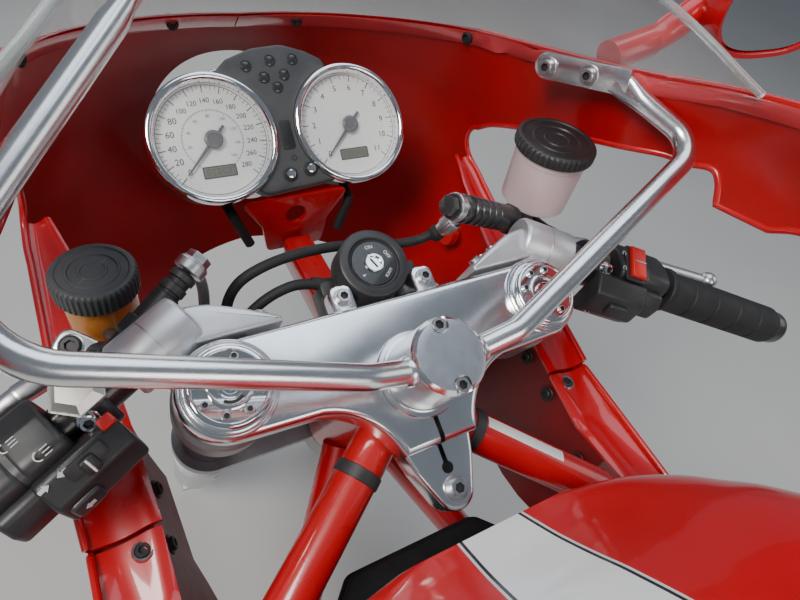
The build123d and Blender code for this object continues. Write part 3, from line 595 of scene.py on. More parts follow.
area("key", (-1.1, -0.1, 1.9), (0.05, 0.35, 0.4), 0.7, 36, (1.0, 0.97, 0.92))
area("sky", (0.5, 0.9, 2.3), (0.0, 0.3, 0.4), 1.6, 18, (0.80, 0.89, 1.0))
area("side", (1.9, -0.3, 1.2), (0.0, 0.3, 0.4), 1.0, 4, (1.0, 0.99, 0.97))
area("back", (0.3, -1.7, 1.3), (0.0, 0.3, 0.4), 1.0, 10, (1.0, 0.97, 0.93))
area("front", (0.4, 2.4, 0.9), (0.0, 0.4, 0.4), 1.2, 7, (1.0, 1.0, 1.0))

# ------------------------------------------------------------------ CAD nodes that stay: better materials
def keep(mat, *nodes):
    for n in nodes:
        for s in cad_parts[n].material_slots:
            s.material = mat


keep(RED_FRAME, "head_tube", "left_frame", "right_frame", "frame_crossbar")
# bottom yoke and hose junction take the darker cast alloy: painted shade
keep(CAST_SHADE, "bottom_yoke", "hose_junction")
keep(CASTP, "left_fork_slider", "right_fork_slider")
keep(CHROME, "left_fork_tube", "right_fork_tube")
keep(STEEL, "steering_stem")

# ------------------------------------------------------------------ fairing
#        z, (half width, y) at rear, knee, middle, shoulder, then nose y
SECT = ((-190, (160, 18), (158, 60), (155, 110), (146, 165), 345),
        (-100, (195.6, -90), (197.2, 36), (195.8, 100), (188, 185), 405),
        (-50, (195.8, -80), (197.4, 36), (196.0, 100), (193, 195), 422),
        (0, (202, -70), (199, 36), (197, 100), (186, 215), 398),
        (60, (222, -64), (210, 36), (190, 100), (173, 235), 346),
        (100, (228, -60), (217, 36), (182, 98), (166, 240), 300),
        (165, (206, -58), (198, 36), (174, 98), (150, 215), 232))
OUTLINE_TOP = [(-120, 95), (-60, 90), (-39, 84), (-25, 75), (9, 69), (20, 84), (26, 86), (41, 80), (61, 78), (109, 61), (160, 38), (202, 17), (222, 2)]


def lerp(a, b, t):
    return a + (b - a) * t


def table(rows, z):
    """Row of the section table at height z, straight between rows."""
    zs = [r[0] for r in rows]
    z = min(max(z, zs[0]), zs[-1])
    i = max(j for j in range(len(zs) - 1) if zs[j] <= z) if z < zs[-1] else len(zs) - 2
    t = (z - zs[i]) / (zs[i + 1] - zs[i])
    a, b = rows[i], rows[i + 1]
    pts = [(lerp(p[0], q[0], t), lerp(p[1], q[1], t)) for p, q in zip(a[1:5], b[1:5])]
    return pts, lerp(a[5], b[5], t)


def smooth_table(rows, z):
    """The same, softened over height, so that the wall bends without a crease."""
    acc, yn, w = [[0, 0] for _ in range(4)], 0, 0
    for d, k in ((-14, 1), (-7, 2), (0, 3), (7, 2), (14, 1)):
        p, n = table(rows, z + d)
        for i in range(4):
            acc[i][0] += p[i][0] * k
            acc[i][1] += p[i][1] * k
        yn += n * k
        w += k
    return [(a / w, b / w) for a, b in acc], yn / w


def half_ring(z, rows=SECT, n_side=30, n_nose=22, smooth=True):
    """Right half of the wall's outer line at height z, from the rear to the nose."""
    (rear, knee, mid, sh), yn = (smooth_table if smooth else table)(rows, z)
    nose = arc3((sh[0], sh[1]), (sh[0] * 0.70, sh[1] + (yn - sh[1]) * 0.72), (0, yn), n_nose)
    ctrl = [rear, knee, mid, sh, nose[4]]
    fine = catmull(ctrl, 14)
    k = [v for v in fine if v.y <= sh[1] + 1e-6]
    out, acc = [k[0]], [0.0]
    for v in k[1:]:
        acc.append(acc[-1] + (v - out[-1]).length)
        out.append(v)
    side = []
    for i in range(n_side):
        d = acc[-1] * i / n_side
        j = max(q for q in range(len(acc)) if acc[q] <= d + 1e-9)
        j = min(j, len(acc) - 2)
        t = (d - acc[j]) / max(1e-9, acc[j + 1] - acc[j])
        side.append(out[j].lerp(out[j + 1], t))
    return side + [Vector(p) for p in nose]


def wall_x(y, z, rows=SECT):
    """Outer half width of the flank at a place."""
    r = half_ring(z, rows, 60)
    for a, b in zip(r[:-1], r[1:]):
        if a.y <= y <= b.y and b.y > a.y:
            return lerp(a.x, b.x, (y - a.y) / (b.y - a.y))
    return r[0].x if y < r[0].y else 0.0


def rim_z(y):
    return 147 - 0.26 * y


T = 3.0
# cutters from the side: everything under the wing's lower line, and the wing's rear end
low = OUTLINE_TOP + arc3((222, 2), (236, -18), (226, -36), 14)[1:] + [(200, -46), (147, -66), (70, -86.5), (15, -100.5), (15, -114), (300, -191), (300, -300), (-120, -300)]
smooth_top = [(-120, 95)] + [(v.x, v.y) for v in catmull([(-60, 90), (-39, 84), (-25, 75)], 5)] + [(9, 69)] + \
             [(v.x, v.y) for v in catmull([(9, 69), (17, 81), (26, 86), (41, 81), (61, 78), (109, 61), (160, 38), (202, 17), (222, 2)], 6)][1:]
low = smooth_top + arc3((222, 2), (236, -18), (226, -36), 14)[1:] + \
      [(v.x, v.y) for v in catmull([(226, -36), (200, -46), (147, -66), (70, -86.5), (15, -100.5)], 5)][1:] + [(15, -114), (300, -191), (330, -300), (-120, -300)]
SIDEM = axes(at(0, 0, 0), VX, VY)


def side_cutter(poly, x0=-300, x1=300):
    s = Shape()
    M = Matrix.Translation(at(0, 0, 0)) @ Matrix(((0, 0, 1, 0), (1, 0, 0, 0), (0, 1, 0, 0), (0, 0, 0, 1))) @ Matrix.Scale(MM, 4)
    s.rings([[M @ Vector((p[0], p[1], x0)) for p in poly], [M @ Vector((p[0], p[1], x1)) for p in poly]], cap0=True, cap1=True)
    return s.cutter()


fair = Shape()
ZS = [-190, -170, -150, -130, -115, -100, -88, -76, -64, -50, -36, -22, -10, 0, 10, 20, 30, 40, 50, 60, 70, 80, 90, 100, 112, 124, 136, 150, 165]


def shell(rows, zs, thick, put):
    """Closed shell between the outer line and a line set in by the thickness."""
    outer, inner = [], []
    for z in zs:
        h = half_ring(z, rows)
        ring = [Vector((-v.x, v.y)) for v in h] + [v for v in h[-2::-1]]
        nrm = []
        for i, v in enumerate(ring):
            a, b = ring[max(i - 1, 0)], ring[min(i + 1, len(ring) - 1)]
            d = (b - a).normalized()
            nrm.append(Vector((d.y, -d.x)))
        outer.append([at(v.x, v.y, z) for v in ring])
        inner.append([at(v.x + q.x * thick, v.y + q.y * thick, z) for v, q in zip(ring, nrm)])
    rings = [o + i[::-1] for o, i in zip(outer, inner)]
    put.rings(rings, cap0=True, cap1=True)


shell(SECT, ZS, T, fair)
cut_low = side_cutter(low)
cut_rear = side_cutter([(-12, 170), (-16, 145), (-70, 84), (-140, 84), (-140, 190), (-12, 190)])
top = Shape()
RIMM = axes(at(0, 0, 147), (0, 0.26, 1))
top.brick(RIMM, (-320, -260, 0), (320, 560, 200), 0.0)
cut_top = top.cutter()
hl = Shape()
hl.lathe(axes(at(0, 480, -70), (0, -1, 0)), [(0, 0), (74, 0), (74, 160), (0, 160)], 72)
cut_lamp = hl.cutter()
fairing = fair.done("fairing_shell", "front_frame", [RED, RED_IN_SHADE_DUST], "red_bodywork", ("upper_fairing",), 30, cuts=[cut_low, cut_rear, cut_top, cut_lamp])


def paint_inside(ob, test, index):
    """Second material on the faces that pass the test, given centre and normal."""
    for p in ob.data.polygons:
        if test(p.center / MM - Vector((0, HY, HZ)), p.normal):
            p.material_index = index


# faces turned inwards take the darker red copy: painted shade
paint_inside(fairing, lambda c, n: n.x * c.x + n.y * (c.y - 150) < -4 and abs(n.z) < 0.85, 1)


def rim_curve(d, inset, step=2):
    """Right half of a line that runs d under the rim, set in from the outer wall."""
    n = len(half_ring(100))
    out = []
    for i in list(range(0, n - 1, step)) + [n - 1]:
        z = 100.0
        for _ in range(5):
            z = rim_z(half_ring(z)[i].y) - d
        h = half_ring(z)
        a, b = h[max(i - 1, 0)], h[min(i + 1, n - 1)]
        q = (b - a).normalized()
        v = h[i] + Vector((-q.y, q.x)) * inset * (1 if i < n - 1 else 1)
        out.append(Vector((v.x, v.y, z)))
    return [v for v in out if v.y > -30]


# rolled edge along the rim, the hand opening and the wing's end
LIP = ((15, 195, -104, 152, -99), (70, 195, -90, 155, -85), (147, 194, -69.5, 160, -60), (200, 190, -49, 165, -42), (230, 181, -35, 172, -34))


def lip_row(y):
    y = min(max(y, 15), 230)
    for a, b in zip(LIP[:-1], LIP[1:]):
        if a[0] <= y <= b[0]:
            t = (y - a[0]) / (b[0] - a[0])
            return [lerp(p, q, t) for p, q in zip(a[1:], b[1:])]


trim = Shape()
for s in (-1, 1):
    # rolled edge: along the upper line of the opening, round its front end and back along the lower line
    line = [p for p in smooth_top if p[0] > -58] + arc3((222, 2), (236, -18), (226, -36), 14)[1:] + [(v.x, v.y) for v in catmull([(226, -36), (200, -46), (147, -66), (70, -86.5), (15, -100.5)], 5)][1:]
    pts = [at(s * (wall_x(y, z) - T / 2 - 0.4), y, z) for y, z in line]
    trim.tube(pts, 2.6, 10)
    # rolled edge on top of the wing, along the rim
    rimline = [at(s * (wall_x(y, rim_z(y) - 1.2) - T / 2), y, rim_z(y) - 1.2) for y in [-50 + 5 * k for k in range(58)]]
    trim.tube(rimline, 2.2, 10)
    # shelf inside the lower line, a shallow gutter rounded at its inner edge
    ys = [15 + 5 * k for k in range(44)]
    prof = []
    for y in ys:
        xo, zo, xi, zi = lip_row(y)
        xo = wall_x(y, zo + 2) - 1.5
        n = 14
        up, dn = [], []
        for k in range(n + 1):
            t = k / n
            x = lerp(xo, xi, t)
            z = lerp(zo + 3.0, zi + 3.0, t) - 4.2 * math.sin(PI * min(1, t * 1.25)) * (1 - 0.3 * t)
            if t > 0.86:
                z -= 26 * (t - 0.86) ** 2 * 2
            up.append(at(s * x, y, z))
            dn.append(at(s * x, y, z - 2.6))
        prof.append(up + dn[::-1])
    trim.rings(prof, cap0=True, cap1=True)
trim.done("fairing_rolled_edges", "front_frame", [RED], "red_bodywork", (), 42)

# ------------------------------------------------------------------ liners below the shelves' inner edges, and laps behind the panel joints
# liners and laps take a much darker copy of the red: painted shade
LINER_SHADE_RED = material("liner_red_painted_shade", (0.17, 0.0015, 0.004), 0.50, coat=0.08, coat_rough=0.3, vary=0.14, scale=22, bump=0.02, bump_scale=300)
#        y, top x, top z, bottom x, bottom z
LINER = ((-62, 155, -111.6, 129, -200), (-35, 155, -114.2, 129, -210), (-10, 155, -109.0, 131, -216), (10, 155, -103.6, 135, -220),
         (30, 154.5, -96.2, 140, -220), (60, 155.5, -88.6, 141.5, -215), (95, 158.5, -78.2, 143.5, -200))
liner = Shape()
for s in (-1, 1):
    rs = []
    for (y0, a0, b0, c0, d0), (y1, a1, b1, c1, d1) in zip(LINER[:-1], LINER[1:]):
        for k in range(6 if y1 < 95 else 7):
            f = k / 6
            y, xt, zt, xb, zb = lerp(y0, y1, f), lerp(a0, a1, f), lerp(b0, b1, f), lerp(c0, c1, f), lerp(d0, d1, f)
            face = [(lerp(xt, xb, j / 6) + 2.5 * math.sin(PI * j / 6), lerp(zt, zb, j / 6)) for j in range(7)]
            ring = face + [(xb + 1.2, zb - 1.6), (xb + 7.5, zb - 2.2), (xb + 7.5, zb - 0.2), (xb + 3.0, zb + 0.6)] + [(x + 2.3, z + 0.2) for x, z in face[-2:0:-1]] + [(xt + 2.3, zt)]
            rs.append([at(s * x, y, z) for x, z in ring])
    liner.rings(rs, cap0=True, cap1=True)
    lap = []
    for y in (8, 10, 20, 22):
        dz = -0.6 if y in (8, 22) else 0
        lap.append([at(s * x, y, z + dz) for x, z in ((156.5, -105.0), (165, -108.6), (174, -110.4), (191.5, -112.0), (191.5, -114.0), (174, -112.4), (165, -110.6), (156.5, -107.0))])
    liner.rings(lap, 1, cap0=True, cap1=True)
    for y, x, z in ((40, 150.6, -107), (6, 150.6, -116), (-48, 148.6, -134)):
        liner.bolt(axes(at(s * (x + 1.2), y, z), Vector((-s * 0.962, 0, 0.272)), Vector((0, 1, 0))), 4.4, 2.6, 2, 3, washer=6.4)
liner.done("fairing_inner_liners", "front_frame", [LINER_SHADE_RED, LINER_SHADE_RED, BLACK, DARK_RECESS_SHADE_AND_TRIM], "red_bodywork", (), 42)

# band of fixing along the screen's foot, with well nuts
#         height, (half width, y) at rear, knee, middle, shoulder, then front y
SCREENT = ((1, (200, 18), (196, 38), (176, 100), (158, 238), 347),
           (40, (150, 50), (148, 68), (140, 106), (132, 196), 290),
           (72, (114, 100), (112, 112), (107, 134), (101, 178), 236),
           (100, (82, 150), (79, 153), (74, 157), (66, 163), 178))


def screen_half(h, n=14):
    hs = [r[0] for r in SCREENT]
    cols = []
    for k in range(4):
        px = catmull([(r[0], r[1 + k][0], r[1 + k][1]) for r in SCREENT], 12)
        cols.append(min(px, key=lambda v: abs(v.x - h)))
    nose = min(catmull([(r[0], r[5]) for r in SCREENT], 12), key=lambda v: abs(v.x - h)).y
    (rear, knee, mid, sh) = [(c.y, c.z) for c in cols]
    a = arc3((sh[0], sh[1]), (sh[0] * 0.70, sh[1] + (nose - sh[1]) * 0.72), (0, nose), 24)
    side = [v for v in catmull([rear, knee, mid, sh, a[5]], 9)]
    side = side[:28]
    return side[:27] + [Vector(p) for p in a]


scr = Shape()
hs = sorted({round(v.x, 3) for v in catmull([(r[0], 0) for r in SCREENT], 12)})[::2] + [100.0]
outer, inner = [], []
for h in hs:
    hf = screen_half(h)
    ring = [Vector((-v.x, v.y)) for v in hf] + list(hf[-2::-1])
    o, i = [], []
    for k, v in enumerate(ring):
        d = (ring[min(k + 1, len(ring) - 1)] - ring[max(k - 1, 0)]).normalized()
        q = Vector((d.y, -d.x))
        o.append(RIMM @ Vector((v.x, v.y, h)))
        i.append(RIMM @ Vector((v.x + q.x * 2.6, v.y + q.y * 2.6, h)))
    outer.append(o)
    inner.append(i)
scr.rings([o + i[::-1] for o, i in zip(outer, inner)], cap0=True, cap1=True)
scr.done("screen_sheet", "front_frame", [SHEET], "clear_screen", ("windscreen",), 34)

# bead round the screen's edge
bead = Shape()
for s in (-1, 1):
    edge = []
    for h in hs:
        v = screen_half(h)[0]
        edge.append(RIMM @ Vector((s * (v.x - 1.3), v.y, h)))
    bead.tube(edge, 2.4, 10)
hf = screen_half(99.4)
bead.tube([RIMM @ Vector((-(v.x - 1.3), v.y - (1.3 if k > 20 else 0), 98.6)) for k, v in enumerate(hf)] + [RIMM @ Vector((v.x - 1.3, v.y - 1.3, 98.6)) for v in hf[-2::-1]], 2.2, 10)
EDGE = material("screen_edge", (0.72, 0.78, 0.76), 0.12, vary=0.06, scale=40, trans=0.75, ior=1.45)
bead.done("screen_edge_bead", "front_frame", [EDGE], "clear_screen", (), 60)

# flange of the screen along the inside of the rim, fixed by small well nuts
fg = Shape()
bands = [rim_curve(d, k) for d, k in ((2.0, T + 0.4), (2.0, T + 2.0), (12.5, T + 2.0), (13.5, T + 0.4))]
for s in (-1, 1):
    fg.rings([[at(s * b[i].x, b[i].y, b[i].z) for b in bands] for i in range(len(bands[0]))], cap0=True, cap1=True)
fg.done("screen_flange", "front_frame", [FLANGE], "red_bodywork", (), 50)

nuts = Shape()
mid = rim_curve(7.5, T + 2.0, 1)
NUTS = [min(range(len(mid)), key=lambda i: abs(mid[i].y - y)) for y in (92, 245, 350)]
for s in (-1, 1):
    for i in NUTS:
        p, a, b = mid[i], mid[i - 1], mid[i + 1]
        q = (b - a).normalized()
        d = Vector((-s * q.y, q.x, 0)).normalized()
        M = axes(at(s * p.x, p.y, p.z), d)
        nuts.lathe(M, [(4.9, -0.2), (4.9, 1.6), (4.4, 2.4), (3.2, 2.8), (2.9, 2.0), (2.7, 0.6), (0, 0.6)], 28, 0)
        nuts.lathe(axes(at(s * p.x, p.y, p.z) - d * (T + 2.0) * MM, -d), [(6.6, 0.0), (6.6, 0.8), (5.6, 2.0), (3.4, 2.6), (0, 2.6)], 28, 1)
nuts.done("screen_well_nuts", "front_frame", [RUBBER, BPAINT, DARK_RECESS_SHADE_AND_TRIM], "black_rubber", (), 40)

# ------------------------------------------------------------------ top yoke
out = [(-95.2, 49.6), (95.2, 49.6)] + arc(105, 23.9, 27.5, 108, -92, 28) + [(62, -5.2)] + arc3((62, -5.2), (41, -14.9), (27.3, -33), 14)[1:] + [(24, -42)]
out = [(-x, y) for x, y in out[:0:-1]] + out[1:]
plate = Shape()
plate.prism(YM, out, -32.1, -8.1, 4.6, 0, 5)
tail = [(24, -36), (19.5, -53), (11.5, -73)] + arc3((11.5, -73), (0, -81), (-11.5, -73), 12)[1:-1] + [(-11.5, -73), (-19.5, -53), (-24, -36)]
plate.prism(YM, rounded(tail, 4, 3), -36.7, -16.7, 2.6, 0, 4)
for s in (-1, 1):
    plate.prism(YM, rounded([(s * 28 - 7.5, 40), (s * 28 + 7.5, 40), (s * 28 + 7.5, 65), (s * 28 - 7.5, 65)], 6.5, 6), -25, -11.1, 1.4, 0, 3)
cut = Shape()
keyhole = [(-1.5, -24.5), (-1.5, -52.7)] + arc(0, -56, 3.6, 114, 426, 22) + [(1.5, -52.7), (1.5, -24.5)]
cut.rings([[YM @ Vector((x, y, z)) for x, y in keyhole] for z in (-60, 10)], cap0=True, cap1=True)
plate.done("top_yoke_plate", "steering", [POL], "polished_aluminium", ("top_yoke",), 30, cuts=[cut.cutter()], self_cut=True)

rings = Shape()
for s in (-1, 1):
    M = YM @ Matrix.Translation((s * 105, 23.9, 0))
    rings.lathe(M, [(26.2, -9), (26.2, -6.9), (25.5, -6.3), (24.9, -6.3), (24.7, -5.5), (24.2, -5.1), (23.4, -5.1), (23.2, -4.5), (22.6, -4.2), (21.6, -4.2), (21.6, -9)], 72)
rings.lathe(YM, [(26.5, -9), (26.5, -7.2), (25.8, -6.4), (23.4, -6.2), (23.2, -5.4), (22.4, -5.0), (21.0, -5.0)], 72)
rings.bolt(axes(yk(0, -68.5, -16.8), UP), 5.2, 5.0, 1, 2, washer=7.4)
slot = [(-1.45, -25), (-1.45, -52.7)] + arc(0, -56, 3.5, 114, 426, 22) + [(1.45, -52.7), (1.45, -25)]
# near-black sheet inside the keyhole slot: painted shade
rings.prism(YM, slot, -36.0, -33.0, 0, 2)
for s in (-1, 1):
    rings.bolt(axes(yk(s * 28, 57, -11.2), UP), 4.2, 3.6, 1, 2, washer=5.6)
rings.done("yoke_rings_and_bolts", "steering", [POL, STEEL, DARK_RECESS_SHADE_AND_TRIM], "polished_aluminium", (), 30)

for side, s in (("left", -1), ("right", 1)):
    cap = Shape()
    M = YM @ Matrix.Translation((s * 105, 23.9, 0))
    cap.lathe(M, [(21.8, -6), (21.8, -1.3), (21.2, -0.4), (20.4, 0), (19.4, 0), (19.0, -0.4), (18.8, -1.0), (12.2, -1.0), (12.0, -0.3), (11.4, 0), (9.9, 0), (9.6, -0.5), (9.4, -2.0), (6.6, -2.0),
                  (6.5, -0.4), (6.1, 0.1), (4.4, 0.1), (4.2, -0.4), (4.1, -1.6), (0, -1.6)], 96)
    for k in range(8):
        a = math.radians(22.5 + 45 * k)
        Mk = M @ Matrix.Translation((15.5 * math.cos(a), 15.5 * math.sin(a), -1.0)) @ Matrix.Rotation(a, 4, "Z")
        cap.bolt(Mk, 2.3, 1.7, 1, 2)
    for k in range(2):
        a0 = 90 + 180 * k
        kid = arc(0, 0, 9.0, a0 - 38, a0 + 38, 10) + arc(0, 0, 7.2, a0 + 38, a0 - 38, 10)
        # near-black kidney slots: painted shade
        cap.prism(M, kid, -2.6, -1.9, 0, 2)
    cap.lathe(M, [(2.3, -1.7), (2.3, -0.2), (1.8, 0.2), (0, 0.2)], 24, 1)
    cap.done(side + "_fork_top", "steering", [CHROME, STEEL, DARK_RECESS_SHADE_AND_TRIM], "chrome", (side + "_fork_cap",), 30)

# ------------------------------------------------------------------ boss over the stem
boss = Shape()
boss.lathe(YM, [(21.7, -6.0), (21.7, 34.4), (21.2, 35.4), (19.2, 37.2), (18.8, 37.3), (14.0, 37.33), (9.0, 37.36), (4.5, 37.38), (1.4, 37.385), (0, 37.385)], 96)
cut = Shape()
for s in (-1, 1):
    cut.rings([[YM @ Vector((x, y, z)) for x, y in rounded([(-5.0, s * 12.0), (5.0, s * 12.0), (5.0, s * 30), (-5.0, s * 30)], [5, 5, 0, 0] if s > 0 else [5, 5, 0, 0], 6)] for z in (33.2, 60)], cap0=True, cap1=True)
bc = cut.cutter()
ob = boss.done("stem_boss_cap", "front_frame", [SATIN, POL], "polished_aluminium", ("stem_boss",), 24, cuts=[bc])
FACE = material("boss_face", (0.44, 0.47, 0.52), 0.36, metal=0.85, vary=0.04, scale=60, bump=0.012, bump_scale=1600)
ob.data.materials.append(FACE)
for p in ob.data.polygons:
    q = YM.inverted() @ p.center
    if abs(p.normal.dot(UP)) > 0.97 and q.z > 36.5:
        p.material_index = 2
    elif q.z > 34.5:
        p.material_index = 1
bs = Shape()
for s in (-1, 1):
    bs.bolt(axes(yk(0, s * 16.8, 33.1), UP), 4.3, 4.0, 0, 1)
bs.tube([yk(0, 0, -5), yk(0, 0, -238)], 7.5, 24, 0)
bs.bolt(axes(yk(0, 0, -238), -UP), 9, 6, 0, 1, "hex")
bs.done("stem_boss_screws", "front_frame", [STEEL, DARK_RECESS_SHADE_AND_TRIM], "steel", (), 40)


# ------------------------------------------------------------------ stays
def fillet(points, radius, n=14):
    P = [Vector(p) for p in points]
    res = [P[0]]
    for a, b, c in zip(P[:-2], P[1:-1], P[2:]):
        u, v = (a - b).normalized(), (c - b).normalized()
        ang = u.angle(v)
        if ang > PI - 0.03:
            res.append(b)
            continue
        d = min(radius * MM / math.tan(ang / 2), 0.49 * (a - b).length, 0.49 * (c - b).length)
        r = d * math.tan(ang / 2)
        bis = (u + v).normalized()
        o = b + bis * (r / math.sin(ang / 2))
        p, q = b + u * d - o, b + v * d - o
        sw = p.angle(q)
        ax = p.cross(q).normalized()
        for k in range(n + 1):
            res.append(o + Matrix.Rotation(sw * k / n, 3, ax) @ p)
    return res + [P[-1]]


STAY = (("left", -1, (46, -13, 33), (219, 19.9, 85), (103, 157, 148), (110, 198, 142), 38, (0.68, 0.1, 0.72)),
        ("right", 1, (46, -13, 33), (203, 36, 97), (170, 92, 116), (151, 137, 105), 19, (0.1, 0, 1)))
for side, s, b0, corner, neck, tip, bend_r, wide in STAY:
    B0, B1, B2, B3 = (at(s * p[0], p[1], p[2]) for p in (b0, corner, neck, tip))
    line = fillet([yk(s * 20, -1, 27), B0, B1, B2], bend_r)
    dense = []
    for a, b in zip(line[:-1], line[1:]):
        n = max(1, int((b - a).length / 0.008))
        dense += [a.lerp(b, k / n) for k in range(n)]
    dense.append(B2)
    e = (B3 - B2).normalized()
    nn = e.cross(Vector((wide[0], wide[1], wide[2]))).normalized()
    ww = nn.cross(e)
    st = Shape()
    # round tube, then pressed flat towards the end plate
    t = (dense[1] - dense[0]).normalized()
    side_v = t.cross(VZ).normalized()
    rs, total = [], len(dense)
    flat_len = 0.024
    for i, p in enumerate(dense):
        t = ((dense[min(i + 1, total - 1)] - p).normalized() + (p - dense[max(i - 1, 0)]).normalized()).normalized()
        side_v = (side_v - t * side_v.dot(t)).normalized()
        top_v = t.cross(side_v)
        left = (dense[-1] - p).length
        f = max(0.0, 1 - left / flat_len) if i > total * 0.6 else 0.0
        f = f * f * (3 - 2 * f)
        ring = []
        wv = (ww - t * ww.dot(t)).normalized()
        nv = t.cross(wv)
        for k in range(28):
            a = 2 * PI * k / 28
            c = side_v * math.cos(a) + top_v * math.sin(a)
            cw, cn = c.dot(wv), c.dot(nv)
            # superellipse from round to a flat bar
            hw, hn = lerp(6.9, 8.4, f), lerp(6.9, 2.6, f)
            ex = lerp(1.0, 0.45, f)
            cw2 = math.copysign(abs(cw) ** ex, cw)
            cn2 = math.copysign(abs(cn) ** ex, cn)
            ring.append(p + (wv * cw2 * hw + nv * cn2 * hn) * MM)
        rs.append(ring)
    st.rings(rs, cap0=True, cap1=True)
    L = (B3 - B2).length / MM
    PM = Matrix.Translation(B2) @ Matrix((e, ww, nn)).transposed().to_4x4() @ Matrix.Scale(MM, 4)
    pl = [(-9, -8.4)] + [(L - 2, -8.5)] + arc(L - 1, 0, 8.5, -90, 90, 12) + [(L - 2, 8.5), (-9, 8.4)]
    st.prism(PM, pl, -2.5, 2.5, 0.8, 0, 2)
    # weld bead where the tube meets the boss
    for f, r, h in ((0.0, 7.9, 0.0), (1.0, 7.0, 0.003)):
        pass
    a0 = line[0].lerp(line[1], 0.0)
    d0 = (line[1] - line[0]).normalized()
    st.tube([a0 + d0 * 0.0015, a0 + d0 * 0.0032, a0 + d0 * 0.0048, a0 + d0 * 0.0060], [8.2, 8.3, 7.7, 6.9], 28)
    st.done(side + "_stay_tube", "front_frame", [BRUSH], "polished_aluminium", (side + "_fairing_stay",), 34)
    sb = Shape()
    inward = nn if nn.x * s < 0 else -nn
    for u in (18.0, L - 2.0):
        p = B2 + e * u * MM
        sb.bolt(axes(p + inward * 0.0025, inward), 4.6, 3.6, 0, 1, "socket", washer=6.8)
        sb.bolt(axes(p - inward * 0.0025, -inward), 5.4, 4.0, 0, 1, "hex", washer=6.8)
    sb.done(side + "_stay_bolts", "front_frame", [STEEL, DARK_RECESS_SHADE_AND_TRIM], "steel", (), 40)

# ------------------------------------------------------------------ ignition switch
ig = Shape()
IM = YM @ Matrix.Translation((0, 74, 0))
ig.lathe(IM, [(17, -67), (17, -34), (19, -33.5), (23, -32), (23, -13.4), (22.2, -11.8), (20.6, -11.0), (17.2, -11.0), (16.4, -11.6), (16.0, -12.6), (14.9, -12.8)], 72, 0)
ig.lathe(IM, [(15.0, -13.4), (15.0, -12.6), (14.4, -12.1), (6.2, -12.1), (6.0, -12.3), (6.0, -13.2)], 72, 1)
ig.lathe(IM, [(6.3, -13.2), (6.3, -11.3), (5.6, -10.7), (4.6, -10.7), (4.4, -11.2), (4.4, -12.4), (0, -12.4)], 40, 2)
# near-black bar across the key barrel as the keyway: painted shade
ig.brick(IM @ Matrix.Translation((0, 0, -12.5)) @ Matrix.Rotation(math.radians(25), 4, "Z"), (-0.6, -3.6, 0), (0.6, 3.6, 0.4), 0, 3)
for words, a, r in (("ON", 90, 10.6), ("OFF", 20, 10.8), ("LOCK", -50, 10.8), ("P", 215, 10.8)):
    t = math.radians(a)
    Mt = IM @ Matrix.Translation((r * math.cos(t), r * math.sin(t), -12.05)) @ Matrix.Rotation(t - PI / 2, 4, "Z")
    ig.text(Mt, words, 3.4 if len(words) < 4 else 2.7, 4, 0.06)
ig.brick(YM, (-30, 52, -62), (-12, 78, -38), 2.5, 0)
ig.brick(YM, (12, 52, -36), (32, 74, -22), 2.0, 0)
for s in (-1, 1):
    ig.brick(YM, (s * 25 - 9, 52, -33), (s * 25 + 9, 66, -25.2), 1.6, 0)
GLOSSB = material("gloss_black", (0.012, 0.012, 0.013), 0.16, vary=0.2, scale=60, bump=0.006, bump_scale=600, coat=0.4)
ig.done("ignition_lock", "steering", [BLACK, GLOSSB, CHROME, DARK_RECESS_SHADE_AND_TRIM, PRINT], "black_plastic", ("ignition_switch",), 32)

